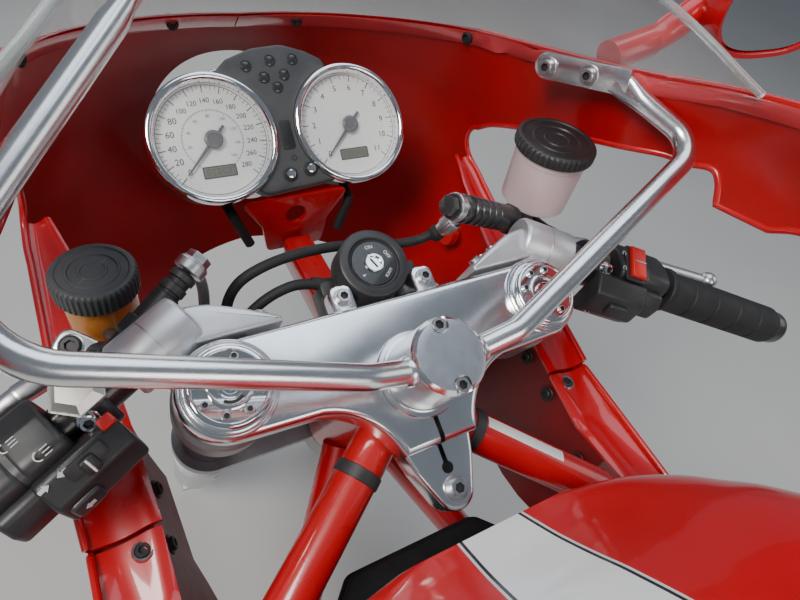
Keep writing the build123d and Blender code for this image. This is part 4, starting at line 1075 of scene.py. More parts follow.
# ------------------------------------------------------------------ clip-ons, bars, grips, switchgear
for side, s in (("left", -1), ("right", 1)):
    co = Shape()
    FM = YM @ Matrix.Translation((s * 105, 23.9, 0))
    # lower clamp of the casting takes the darker cast alloy: painted shade
    co.lathe(FM, [(21.6, -37.6), (27.6, -37.0), (29, -38.4), (29, -69.6), (27.6, -71), (21.6, -70.6)], 64, 3)
    co.prism(YM, rounded([(s * 80, 42), (s * 131, 42), (s * 131, 60), (s * 118, 71), (s * 104, 71), (s * 80, 60)], 5, 4), -71, -37, 3.0, 3, 3)
    ris = [(s * 66, 52.6), (s * 66, 56), (s * 84, 65)] + [(v.x, v.y) for v in catmull([(s * 84, 65), (s * 104, 72.6), (s * 121, 72.6), (s * 131.5, 61)], 6)][1:] + [(s * 130, 52.6)]
    co.prism(YM, ris, -38, -10, 2.4, 0, 3)
    co.tube([onbar(k, s) for k in (-0.05, -0.045, -0.04, 0.11, 0.115, 0.12)], [14.6, 16.0, 16.5, 16.5, 16.0, 14.6], 40)
    # parting line and clamp split
    co.tube([onbar(0.034, s), onbar(0.036, s)], 16.75, 40, 1)
    co.bolt(axes(yk(s * 112, 71, -46), Vector((0, CR, SR))), 4.6, 4.4, 1, 2, washer=6.2)
    co.bolt(axes(yk(s * 112, 71, -62), Vector((0, CR, SR))), 4.6, 4.4, 1, 2, washer=6.2)
    co.bolt(axes(yk(s * 76, 60.2, -20), Vector((-s * 0.45, 0.89 * CR, 0.89 * SR))), 4.0, 3.6, 1, 2)
    co.done(side + "_clip_on_casting", "steering", [CASTP, STEEL, DARK_RECESS_SHADE_AND_TRIM, CAST_SHADE], "polished_aluminium", (side + "_clip_on",), 32)

    bar = Shape()
    BM = bar_axes(0, s)
    L = BAR_LEN
    bar.lathe(BM, [(8, -0.04 * L), (11, -0.04 * L), (11, 1.002 * L), (13.2, 1.002 * L), (14, 1.006 * L), (14, 1.034 * L), (13.2, 1.045 * L), (11.2, 1.053 * L), (8.0, 1.0575 * L), (4.0, 1.059 * L), (0, 1.0594 * L)], 48)
    bar.done(side + "_bar_tube", "steering", [BPAINT, STEEL, DARK_RECESS_SHADE_AND_TRIM], "black_paint", (side + "_handlebar",), 32)

    gr = Shape()
    prof = [(11.1, 0.5 * L), (16.6, 0.5 * L), (17.6, 0.504 * L), (17.6, 0.516 * L), (16.4, 0.522 * L), (15.8, 0.53 * L)]
    for q in (0.60, 0.70, 0.80, 0.90):
        prof += [(15.9, (q - 0.004) * L), (15.0, q * L), (14.9, (q + 0.003) * L), (15.9, (q + 0.007) * L)]
    prof += [(16.0, 0.96 * L), (16.0, 0.988 * L), (15.2, 0.998 * L), (13.0, 1.0 * L), (11.1, 1.0 * L)]
    gr.lathe(BM, prof, 56)
    gr.done(side + "_grip_rubber", "steering", [RUBBER], "black_rubber", (side + "_grip",), 40)

    sw = Shape()
    SM = axes(onbar(0, s), onbar(1, s) - onbar(0, s), VZ)
    f = 1 if s > 0 else -1
    K0 = 0.27 * L
    body = rounded([(-19, -17 * f), (17, -17 * f), (20, 0), (18, 19 * f), (-14, 20 * f), (-20, 6 * f)], 9, 6)
    sw.prism(SM @ Matrix.Translation((0, 0, K0)), body, 0, 22.6, 3.0, 0, 4)
    sw.prism(SM @ Matrix.Translation((0, 0, K0)), body, 23.2, 0.19 * L, 3.0, 0, 4)
    sw.prism(SM @ Matrix.Translation((0, 0, K0)), [(x * 0.965, y * 0.965) for x, y in body], 20, 26, 0, 1, 1)
    wing = rounded([(-22, 18.5 * f), (10, 18.5 * f), (13, 24 * f), (4, 36 * f), (-14, 36 * f), (-24, 27 * f)], [2, 2, 4, 6, 6, 4], 5)
    sw.prism(SM, wing, 0.19 * L, 0.37 * L, 2.4, 0, 4)
    low = rounded([(-18, 12 * f), (8, 12 * f), (9, 24 * f), (0, 29 * f), (-12, 28 * f)], 5, 5)
    sw.prism(SM, low, 0.36 * L, 0.45 * L, 3.0, 0, 4)

    def face(u, v, k, tilt=0.0):
        """On top of the housing: local x along the bar, y towards the rider, z out of the face, tilted towards the rider."""
        M = SM @ Matrix.Translation((u, v * f, k * L)) @ Matrix(((0, 0, 1, 0), (0, f, 0, 0), (1, 0, 0, 0), (0, 0, 0, 1)))
        return M @ Matrix.Rotation(-math.radians(tilt), 4, "X")
    if s > 0:
        M1 = face(19.4, 10, 0.315, 22)
        sw.brick(M1, (-8.4, -14, -2), (8.4, 14, 1.2), 1.2, 1, 2)
        sw.prism(M1, [(-6.4, -12), (6.4, -12), (6.4, 12), (-6.4, 12)], 0.4, 5.6, 2.0, 2, 3)
        sw.brick(M1, (-5.2, -0.7, 5.2), (5.2, 0.7, 6.3), 0.4, 3)
        # two small round marks beside the rocker
        for yy in (-6, 6):
            sw.prism(M1 @ Matrix.Translation((-10.6, yy, 1.0)), arc(0, 0, 1.7, 120, 420, 14) + arc(0, 0, 1.25, 420, 120, 14), 0, 0.12, 0, 4)
        M2 = face(-6, 36, 0.285, 90)
        sw.brick(M2, (-8, -5, -1), (8, 5, 3.2), 1.4, 1, 3)
        sw.bolt(face(-16, 33, 0.215, 60), 2.4, 1.6, 3, 1)
    else:
        M1 = face(15.6, 1.5, 0.205, 4)
        hexo = [(-15, 1), (-7, -13), (6, -13), (14, -1), (6, 12), (-8, 12)]
        sw.prism(M1, hexo, -3.0, 4.6, 4.4, 5, 1)
        M2 = face(12.6, 22.5, 0.205, 20)
        sw.brick(M2, (-3.8, -3.0, -2), (3.8, 3.0, 3.4), 0.9, 2, 2)
        # slider in a dark slot, rocker with a raised bar, thumb button
        M3 = face(8.2, 30, 0.275, 53)
        sw.brick(M3, (-10, -6, -1), (10, 6, 0.9), 1.2, 1, 2)
        sw.brick(M3, (-4, -4.4, 0.4), (4, 4.4, 4.0), 1.4, 1, 3)
        sw.brick(M3, (-0.7, -4.0, 3.6), (0.7, 4.0, 4.6), 0.4, 6, 1)
        M4 = face(-6, 34, 0.325, 88)
        sw.brick(M4, (-8, -6, -1), (8, 6, 4.4), 2.2, 1, 3)
        sw.prism(M4 @ Matrix.Translation((0, 0, 4.4)), [(-2.2, -1.4), (0.6, -1.4), (0.6, -2.6), (3.0, 0), (0.6, 2.6), (0.6, 1.4), (-2.2, 1.4)], -0.2, 0.12, 0, 4)
        M5 = face(20.0, 2, 0.345, 4)
        sw.prism(M5, arc(1.0, 0, 2.6, -90, 90, 10) + arc(1.0, 0, 2.1, 90, -90, 10), 0, 0.12, 0, 4)
        for yy in (-1.8, 0, 1.8):
            sw.brick(M5, (-4.4, yy - 0.2, 0), (-0.6, yy + 0.2, 0.12), 0, 4)
        M6 = face(17.8, 15.5, 0.315, 30)
        sw.prism(M6, arc(1.0, 0, 2.6, -90, 90, 10) + arc(1.0, 0, 2.1, 90, -90, 10), 1.2, 1.4, 0, 4)
        for yy in (-1.8, 0, 1.8):
            sw.brick(M6, (-4.4, yy - 0.2, 1.2), (-0.6, yy + 0.2, 1.4), 0, 4)
        for k, m in ((0.315, 1), (0.355, -1)):
            M7 = face(11.6, 26.0, k, 53)
            sw.prism(M7, [(m * -2.4, -0.9), (m * 0.4, -0.9), (m * 0.4, -2.0), (m * 2.8, 0), (m * 0.4, 2.0), (m * 0.4, 0.9), (m * -2.4, 0.9)], 0, 0.9, 0, 4)
        sw.brick(face(19.6, 6, 0.405, 8), (-7, -0.6, 0), (7, 0.6, 0.9), 0.3, 6)
    for k in (0.29, 0.43):
        sw.bolt(SM @ Matrix.Translation((-17.5, -6 * f, k * L)) @ Matrix.Rotation(-PI / 2, 4, "Y"), 2.8, 2.0, 3, 1)
    CLAMP = material(side + "_clamp_cast", (0.62, 0.60, 0.55), 0.36, metal=0.85, vary=0.08, scale=50, bump=0.03, bump_scale=1200)
    sw.done(side + "_switch_housing", "steering", [BLACK, BLACK, REDSW, STEEL, PRINT, CLAMP, SATIN], "black_plastic", (side + "_switchgear",), 36)

# ------------------------------------------------------------------ hydraulics
HYD = (("left", -1, (-108, 94, -16), (-146, 66, -24), 7.5, (-153, 119, 15), 23.5, 14.5, 20.5, 27.5, (-153, 98.0, -18)),
       ("right", 1, (72, 97, -8), (146, 88, -41), 10.0, (153, 104, 68), 29.5, 9.0, 26.5, 45.0, (153, 104, 13.9)))
for side, s, c0, c1, cr, cap, cap_r, cap_h, cup_r, cup_h, foot in HYD:
    P, Q = yk(*c0), yk(*c1)
    Lc = (Q - P).length / MM
    mc = Shape()
    CM = axes(P, Q - P, UP)
    prof = [(0, -0.2), (cr - 2.5, -0.2), (cr - 1.0, 0.6), (cr, 2.0), (cr, 5), (cr - 1.2, 5.6), (cr - 1.2, 8.4), (cr, 9)]
    z = 9
    while z < Lc * (0.30 if s < 0 else 0.45):
        prof += [(cr, z + 4.2), (cr - 0.8, z + 4.8), (cr - 0.8, z + 6.2), (cr, z + 6.8)]
        z += 7.4
    prof += [(cr + 0.0, Lc * 0.7), (cr + 1.6, Lc * 0.72), (cr + 1.6, Lc * 0.92), (cr, Lc * 0.96), (cr, Lc), (0, Lc)]
    mc.lathe(CM, prof, 44)
    arm = yk(s * 172, 44, -26)
    mc.tube([Q + (P - Q).normalized() * 0.006, Q, Q.lerp(arm, 0.3), Q.lerp(arm, 0.7), arm], [cr, cr, 8.4, 7.6, 8.6], 24)
    k0, k1 = 0.175, 0.245
    mc.tube([onbar(k, s) for k in (k0, k0 + 0.006, k1 - 0.006, k1)], [15.8, 17, 17, 15.8], 40)
    mc.tube([Q, at(*foot)], 4.0, 16, 1)
    rd = Vector((0, -0.86, 0.5))
    mc.bolt(axes(onbar((k0 + k1) / 2, s) + rd * 0.0168, rd), 4.2, 4.0, 2, 3, washer=5.4)
    # lever pivot bosses and screw
    L0, L1, L2 = yk(s * 169, 74, -54), yk(s * 204, 58, -48), yk(s * 322, 0, -54)
    mc.tube([Q.lerp(arm, 0.25), Q.lerp(arm, 0.25).lerp(L0, 0.6), L0 + UP * 0.007], [7.6, 7.4, 8.6], 20)
    mc.lathe(axes(L0 + UP * 0.0050, UP), [(9.0, 0), (9.0, 4.0), (8.2, 4.8), (0, 4.8)], 32)
    mc.lathe(axes(L0 - UP * 0.0098, UP), [(0, 0), (8.2, 0), (9.0, 0.8), (9.0, 4.0), (0, 4.0)], 32)
    mc.bolt(axes(L0 + UP * 0.0098, UP), 5.2, 3.6, 2, 3, washer=6.2)
    mc.done(side + "_master", "steering", [BLACK if s < 0 else BPAINT, NIPPLE if s > 0 else BLACK, CHROME, DARK_RECESS_SHADE_AND_TRIM], "black_paint", (side + "_master_cylinder",), 34)

    lv = Shape()
    line = fillet([L0, L1, L2], 25, 12)
    dense = []
    for a, b in zip(line[:-1], line[1:]):
        n = max(1, int((b - a).length / 0.010))
        dense += [a.lerp(b, k / n) for k in range(n)]
    dense.append(L2)
    rr = [lerp(7.0, 5.6, min(1, i / 6)) if i < 7 else lerp(5.6, 5.0, (i - 7) / max(1, len(dense) - 8)) for i in range(len(dense))]
    lv.tube(dense, rr, 24, 0, True, 0.72, UP)
    lv.lathe(axes(L2, L2 - L1), [(0, -8)] + [(8 * math.sin(math.radians(a)), -8 * math.cos(math.radians(a))) for a in range(15, 180, 15)] + [(0, 8)], 32)
    lv.lathe(axes(L0 - UP * 0.0052, UP), [(0, 0), (7.4, 0), (8.2, 0.8), (8.2, 9.6), (7.4, 10.2), (0, 10.2)], 36)
    lv.done(side + "_lever_blade", "steering", [SATIN], "polished_aluminium", (side + "_lever",), 36)

    CP = axes(at(*cap), VZ)
    cu = Shape()
    tp = math.tan(math.radians(2)) * cup_h
    cu.lathe(CP, [(0, -cap_h - cup_h), (cup_r - tp - 3, -cap_h - cup_h), (cup_r - tp, -cap_h - cup_h + 2.6), (cup_r - 0.5, -cap_h - 5), (cup_r, -cap_h - 4.4), (cup_r, -cap_h), (cup_r - 2, -cap_h + 0.2), (0, -cap_h + 0.2)], 72)
    cu.done(side + "_fluid_cup", "steering", [AMBER if s < 0 else PINKC], "fluid_amber" if s < 0 else "fluid_pink", (side + "_reservoir",), 34)
    ld = Shape()
    R = cap_r
    n = 180
    rs = []
    for r, z, k in ((R - 1.2, -cap_h, 0), (R - 0.5, -cap_h + 0.6, 1), (R - 0.2, -cap_h + 1.4, 1), (R - 0.2, -2.6, 1), (R - 0.6, -1.4, 1), (R - 1.8, -0.3, 0), (R - 3.0, 0, 0), (R - 4.2, 0, 0), (R - 5.0, -0.8, 0),
                    (R * 0.62, -0.8, 0), (R * 0.60, -0.2, 0), (R * 0.56, -0.2, 0), (R * 0.54, -1.0, 0), (R * 0.34, -1.0, 0), (R * 0.32, -0.4, 0), (R * 0.28, -0.4, 0), (R * 0.26, -1.0, 0)):
        rs.append([CP @ Vector(((r - (0.75 if k and (i // 2) % 2 else 0)) * math.cos(2 * PI * i / n), (r - (0.75 if k and (i // 2) % 2 else 0)) * math.sin(2 * PI * i / n), z)) for i in range(n)])
    ld.rings(rs, 0, cap1=True, cap0=True)
    ld.done(side + "_fluid_lid", "steering", [GREYP if s < 0 else BLACK], "black_plastic", (side + "_reservoir_cap",), 34)

    br = Shape()
    if s < 0:
        LM = axes(at(-171, 86, -9), (-0.12, -0.45, 0.88), (0.75, -0.62, -0.2))
        br.prism(LM, rounded([(-9, -9), (12, -8), (15, 0), (12, 8), (-9, 9)], [7, 4, 4, 4, 7], 6), 0, 8, 1.6, 3, 3)
        br.lathe(LM @ Matrix.Translation((0, 0, 8)), [(6.6, -0.2), (6.6, 0.5), (5.8, 0.9), (5.2, 0.4)], 32, 3)
        br.bolt(LM @ Matrix.Translation((0, 0, 7.9)), 5.0, 2.6, 1, 1)
        br.tube([at(-171, 88, -8), yk(-169, 74, -49)], 7.5, 20, 3)
    br.tube([at(cap[0], cap[1], cap[2] - cap_h - cup_h - 0.5), at(cap[0], cap[1], cap[2] - cap_h - cup_h + 1.5)], [6.5, 7.5], 24, 2)
    br.done(side + "_cup_foot", "steering", [CHROME, DARK_RECESS_SHADE_AND_TRIM, NIPPLE if s > 0 else BLACK, SATIN], "chrome", (), 34)

# ------------------------------------------------------------------ banjo fittings and hoses
HOSES = (("brake_hose", -48, ((75, 96, 18), (66, 103, 0), (46, 108, -8), (18, 110, -3), (-11, 109, 4), (-40, 108, 5), (-64, 106, 1),
                              (-80, 104, -8), (-87, 103, -32), (-80, 100, -68), (-62, 95, -99)), RUBBER, "black_rubber"),
         ("clutch_hose", -68, ((-104, 110, 18), (-99, 112, 4), (-96, 111, -10), (-97, 111, -34), (-98, 112, -66), (-88, 109, -98)),
          material("grey_hose", (0.20, 0.20, 0.205), 0.42, vary=0.12, scale=300, bump=0.06, bump_scale=2600), "steel"),
         ("ignition_cable", -28, ((-21, 87, -9), (-38, 93, -6), (-56, 93, -10), (-69, 92, -18), (-80, 91, -30), (-79, 89, -52), (-62, 85, -80), (-38, 87, -105)), RUBBER, "black_rubber"))
for name, px, pts, mt, sl in HOSES:
    run = [at(*p) for p in pts] + [yk(px, 36, -148), yk(px, 36, -168)]
    cu = bpy.data.curves.new(name + "_line", "CURVE")
    cu.dimensions = "3D"
    sp = cu.splines.new("NURBS")
    sp.points.add(len(run) - 1)
    for q, p in zip(sp.points, run):
        q.co = (*p, 1)
    sp.order_u = 3
    sp.use_endpoint_u = True
    sp.resolution_u = 10
    cu.bevel_depth, cu.bevel_resolution, cu.use_fill_caps = 0.0035, 5, True
    cu.materials.append(mt)
    ob = bpy.data.objects.new(name + "_line", cu)
    bpy.context.scene.collection.objects.link(ob)
    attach(ob, "steering")
    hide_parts(name)
    # sleeves at both ends
    fit = Shape()
    d0 = (run[1] - run[0]).normalized()
    if name == "brake_hose":
        # knurled ferrule, rubber collar, elbow into the banjo
        fit.lathe(axes(run[0], d0), [(3.4, 0), (6.0, 0.3), (6.4, 1.0), (6.4, 9.5), (5.6, 10.2), (5.0, 10.6), (5.0, 14), (4.2, 14.8), (3.4, 15)], 36, 0)
        for q in range(18):
            a = 2 * PI * q / 18
            M = axes(run[0], d0)
            fit.brick(M @ Matrix.Rotation(a, 4, "Z"), (6.1, -0.45, 1.2), (6.75, 0.45, 9.2), 0.15, 0, 1)
        fit.lathe(axes(run[0] + d0 * 0.0148, d0), [(3.5, 0), (5.4, 0.4), (5.8, 1.4), (5.8, 6.2), (5.2, 7.2), (3.5, 7.6)], 32, 1)
        P = yk(72, 97, -8)
        Q = yk(146, 88, -41)
        ax = (P - Q).normalized()
        fit.lathe(axes(P - ax * 0.001, ax), [(0, 0), (7.6, 0), (7.6, 0.8), (5.6, 1.0)], 32, 0)
        fit.lathe(axes(P + ax * 0.001, ax), [(0, 0), (9.2, 0), (9.6, 0.5), (9.6, 5.6), (9.2, 6.1), (0, 6.1)], 40, 0)
        fit.bolt(axes(P + ax * 0.0071, ax), 7.4, 5.2, 2, 3, "hex", washer=8.6)
        mid = P + ax * 0.004
        fit.tube(fillet([mid, mid.lerp(run[0], 0.5) + UP * 0.002, run[0] + d0 * 0.001], 6, 6), 4.4, 20, 0)
    elif name == "clutch_hose":
        P = yk(-108, 94, -16)
        Q = yk(-146, 66, -24)
        ax = (P - Q).normalized()
        fit.lathe(axes(P + ax * 0.001, ax), [(0, 0), (8.6, 0), (9.0, 0.5), (9.0, 5.4), (8.6, 5.9), (0, 5.9)], 40, 0)
        fit.bolt(axes(P + ax * 0.0068, ax), 7.0, 5.0, 0, 3, "hex", washer=8.2)
        mid = P + ax * 0.0038
        fit.tube([mid, mid.lerp(run[0], 0.5), run[0] + d0 * 0.002], 4.2, 20, 0)
        fit.lathe(axes(run[0], d0), [(3.4, 0), (4.8, 0.3), (5.0, 1), (5.0, 13), (4.4, 14), (3.4, 14.2)], 32, 4)
        M = axes(at(-97, 111.2, -40), (run[4] - run[3]))
        fit.lathe(M, [(3.4, 0), (5.6, 0.4), (5.6, 4), (5.0, 4.4), (5.0, 6), (5.6, 6.4), (5.6, 10), (5.0, 10.4), (5.0, 12), (5.6, 12.4), (5.6, 17), (4.8, 18), (3.4, 18.2)], 32, 0)
    else:
        fit.lathe(axes(run[0] - d0 * 0.004, d0), [(3.4, 0), (5.2, 0.3), (5.2, 6), (4.4, 8), (4.2, 16), (3.4, 17)], 28, 1)
    e1 = run[-1]
    fit.lathe(axes(e1 - UP * 0.001, UP), [(6.3, 0), (6.3, 4), (5.4, 5), (5.2, 16), (4.4, 17), (3.4, 17.2)], 32, 0)
    fo = fit.done(name + "_fittings", "steering", [SATIN, RUBBER, BPAINT, DARK_RECESS_SHADE_AND_TRIM, GREYP], "steel", (), 34)

# ------------------------------------------------------------------ gauges: cup, chromed ring, face, needle, glass
def dial(name, x, labels, step, major, needle, a0=225.0, a1=-45.0, inner=None, lcd=None):
    M = GM @ Matrix.Translation((x, 0, 0))
    c = Shape()
    c.lathe(M, [(0, -50), (40, -50), (43.2, -47), (43.8, -20), (44, -13.2), (43.0, -9)], 72, 0)
    c.lathe(M, [(43.4, -14), (47.4, -14), (47.5, -13), (47.5, -2.6), (46.9, -1.0), (45.6, -0.1), (44.4, 0), (43.2, -0.4), (42.2, -1.4), (41.2, -4.0), (41.0, -9.4), (43.0, -9.6)], 96, 1)
    c.done(name + "_ring", "front_frame", [BLACK, CHROME], "chrome", (name + "_bezel",), 34)
    f = Shape()
    f.lathe(M, [(42.5, -9.8), (42.5, -9.0), (36.4, -9.0), (36.3, -8.9), (24, -8.9), (12, -8.9), (5, -8.9), (2.2, -8.9)], 96, 0)
    n = len(labels) - 1
    sub = n * step
    for i in range(sub + 1):
        a = math.radians(lerp(a0, a1, i / sub))
        big = i % step == 0
        mid = (i * 2) % step == 0
        r1, r0, w = 39.6, (34.6 if big else 36.2 if mid else 37.4), (0.62 if big else 0.34)
        Mt = M @ Matrix.Rotation(a, 4, "Z")
        f.put([Mt @ Vector(v) for v in ((r0, -w / 2, -8.72), (r1, -w / 2, -8.72), (r1, w / 2, -8.72), (r0, w / 2, -8.72))], [[0, 1, 2, 3]], 1)
    f.lathe(M, [(40.1, -8.75), (40.1, -8.70), (39.7, -8.70), (39.7, -8.75)], 96, 1)
    for i, t in enumerate(labels):
        a = math.radians(lerp(a0, a1, i / n))
        r = 30.0 if len(t) < 3 else 28.8
        f.text(M @ Matrix.Translation((r * math.cos(a), r * math.sin(a), -8.72)), t, 6.4 if len(t) < 3 else 5.2, 1, 0.04)
    if inner:
        f.lathe(M, [(22.3, -8.75), (22.3, -8.70), (22.0, -8.70), (22.0, -8.75)], 72, 2)
        m = len(inner) - 1
        for i in range(m * 5 + 1):
            a = math.radians(lerp(a0, a1, i / (m * 5)))
            r0 = 20.2 if i % 5 == 0 else 21.0
            Mt = M @ Matrix.Rotation(a, 4, "Z")
            f.put([Mt @ Vector(v) for v in ((r0, -0.15, -8.72), (22.1, -0.15, -8.72), (22.1, 0.15, -8.72), (r0, 0.15, -8.72))], [[0, 1, 2, 3]], 2)
        for i, t in enumerate(inner):
            a = math.radians(lerp(a0, a1, i / m))
            f.text(M @ Matrix.Translation((17.6 * math.cos(a), 17.6 * math.sin(a), -8.72)), t, 3.0, 2, 0.03)
    # window low on the face with a thin dark frame and plain segment figures
    f.prism(M, rounded([(-12.5, -27.5), (12.5, -27.5), (12.5, -18.5), (-12.5, -18.5)], 1.2, 4), -9.0, -8.55, 0.15, 3, 1)
    f.prism(M, rounded([(-11.6, -26.6), (11.6, -26.6), (11.6, -19.4), (-11.6, -19.4)], 0.6, 3), -8.6, -8.5, 0, 4, 1)
    seg = lcd or "0 0 0 0 0"
    k = 0
    for ch in seg.split(" "):
        X0 = -9.6 + k * 3.9
        for dx, dy, w, h in ((0, 4.2, 2.2, 0.4), (0, 0, 2.2, 0.4), (0, 2.2, 0.4, 2.2), (1.8, 2.2, 0.4, 2.2), (0, 0.2, 0.4, 2.0), (1.8, 0.2, 0.4, 2.0)):
            f.put([M @ Vector((X0 + dx + a * w, -25.3 + dy + b * h, -8.46)) for a, b in ((0, 0), (1, 0), (1, 1), (0, 1))], [[0, 1, 2, 3]], 1)
        k += 1
    # needle: tapering blade with a short tail, under a round hub
    a = math.radians(needle)
    Mn = M @ Matrix.Rotation(a, 4, "Z")
    f.prism(Mn, [(-13, -1.0), (0, -1.5), (33, -0.45), (34, 0), (33, 0.45), (0, 1.5), (-13, 1.0)], -6.6, -5.8, 0.2, 5, 1)
    f.lathe(M, [(2.4, -9.2), (3.0, -8.7), (3.0, -6.7), (6.6, -6.6), (6.8, -6.2), (6.8, -5.0), (6.2, -4.5), (4.4, -4.3), (4.0, -4.6), (0, -4.6)], 48, 5)
    f.done(name + "_face", "front_frame", [WHITE, INK, INKG, DARK_RECESS_SHADE_AND_TRIM, LCD, HUB], "dial_face", (name,), 34, recalc=True)
    g = Shape()
    g.lathe(M, [(41.1, -3.2), (36, -2.75), (28, -2.3), (16, -2.0), (0, -1.9)], 72, 0)
    g.done(name + "_glass", "front_frame", [GLASS], "clear_screen", (), 60)


dial("speedometer", -55.1, [str(v) for v in range(0, 300, 20)][:15], 4, 2, 225, inner=[str(v) for v in range(0, 180, 20)], lcd="0 0 0 0 0 0")
dial("tachometer", 55.1, [str(v) for v in range(0, 12)], 4, 2, 225, lcd="0 0 0 0 0 0")

# ------------------------------------------------------------------ panel between the gauges
pn = Shape()
PO = [(-47, 45), (-34, 56), (-14, 63), (10, 65), (29, 59), (42, 52), (46, 30), (46, -24), (36, -42), (-24, -46), (-46, -30), (-50, 30)]
pn.prism(GM, rounded(PO, [6, 8, 20, 20, 14, 8, 6, 6, 12, 12, 6, 6], 5), -22, -4.6, 2.4, 0, 4)
cut = Shape()
for x in (-55.1, 55.1):
    cut.rings([[GM @ Vector((a, b, z)) for a, b in circle(x, 0, 47.9, 80)] for z in (-30, 10)], cap0=True, cap1=True)
pc = cut.cutter()
pn.done("panel_between_gauges", "front_frame", [GREYP], "black_plastic", ("instrument_panel",), 30, cuts=[pc])
LAMP = material("telltale_lens", (0.035, 0.035, 0.038), 0.22, vary=0.2, scale=120, coat=0.5)
tl = Shape()
for x, y in ((-20, 50), (-1, 53), (17, 53), (-8, 41), (8, 42), (1, 33)):
    M = GM @ Matrix.Translation((x, y, -4.7))
    tl.lathe(M, [(4.4, 0), (4.4, 0.5), (4.0, 0.8), (3.7, 0.8), (3.6, 0.3)], 28, 0)
    tl.lathe(M, [(3.65, 0.3), (2.4, 0.75), (0, 0.95)], 24, 1)
for x, y in ((-4, -33), (13, -31)):
    M = GM @ Matrix.Translation((x, y, -4.7))
    tl.lathe(M, [(5.6, 0), (5.6, 0.9), (5.0, 1.4), (4.2, 1.4), (4.0, 0.4)], 32, 0)
    tl.lathe(M, [(3.7, 0.2), (3.7, 3.4), (3.2, 4.2), (2.2, 4.5), (0, 4.5)], 32, 2)
# small near-black dish as a hole: painted shade
tl.lathe(GM @ Matrix.Translation((2, -21, -4.7)), [(2.2, 0.0), (2.2, 0.3), (1.5, 0.3), (1.4, 0.05), (0, 0.05)], 24, 3)
tl.prism(GM @ Matrix.Translation((0, 0, -4.75)), rounded([(-4.2, 8), (4.2, 8), (5.2, -14), (-5.2, -14)], 2.5, 4), 0, 1.0, 0.7, 0, 2)
tl.done("panel_lamps_and_buttons", "front_frame", [BLACK, LAMP, CHROME, DARK_RECESS_SHADE_AND_TRIM], "chrome", (), 34)

# ------------------------------------------------------------------ bracket
bk = Shape()
bk.tube(fillet([at(-168, 196, -104), at(-70, 196, -74), at(70, 196, -74), at(168, 196, -104)], 30, 8), 10, 24)
for s in (-1, 1):
    bk.tube([at(s * 60, 196, -74), at(s * 50, 284, -90)], 8, 20)
    bk.tube([at(s * 160, 196, -101.5), at(s * 168, 196, -104), at(s * 168.2, 196, -104.1)], [10, 10, 9], 20)
BXM = axes(at(0, 0, 0), VZ)
bk.brick(BXM, (-12, 47, -89), (12, 197, -63), 3.0)
plate2 = [(-46, -24), (46, -24), (28, -52), (24, -78), (-24, -78), (-28, -52)]
PYM = axes(at(0, 204, 0), (0, -1, 0))
cut = Shape()
cut.rings([[PYM @ Vector((a, b, z)) for a, b in circle(0, -43, 9, 32)] for z in (-10, 14)], cap0=True, cap1=True)
bp = Shape()
bp.prism(PYM, rounded(plate2, 5, 4), 0, 4, 0.8, 0, 2)
pcut = cut.cutter()
cut2 = Shape()
cut2.rings([[yk(x, y, z) for x, y in circle(0, 0, 29.05, 48)] for z in (-260, 20)], cap0=True, cap1=True)
hcut = cut2.cutter()
bk.done("bracket_tubes", "front_frame", [RED_FRAME], "red_paint", ("fairing_bracket",), 34, cuts=[hcut])
bp.done("bracket_plate", "front_frame", [RED_FRAME], "red_paint", (), 34, cuts=[pcut])
gp = Shape()
for x in (-55.1, 55.1):
    M = GM @ Matrix.Translation((x, 0, -50))
    gp.lathe(M, [(0, 0), (6, 0), (6, -7), (8.2, -7.4), (8.2, -12), (6, -12.6), (4.4, -16), (0, -16)][::-1], 28, 0)
    gp.tube([GM @ Vector((x, -16, -50)), GM @ Vector((x, -16, -60)), at(x * 0.9, 205, -40), at(x * 0.7, 200, -66)], 4, 14, 0)
gp.done("gauge_posts", "front_frame", [RUBBER], "black_rubber", (), 36)

# ------------------------------------------------------------------ tank
TANK = ((-86, 60, -30, -64), (-94, 98, -24, -86), (-108, 126, -13, -104), (-124, 141, 2, -116), (-140, 152, 18, -124), (-170, 162, 43, -132), (-200, 166, 57, -138), (-300, 166, 58, -140), (-400, 142, 48, -140), (-480, 108, 20, -130), (-560, 62, -24, -112))


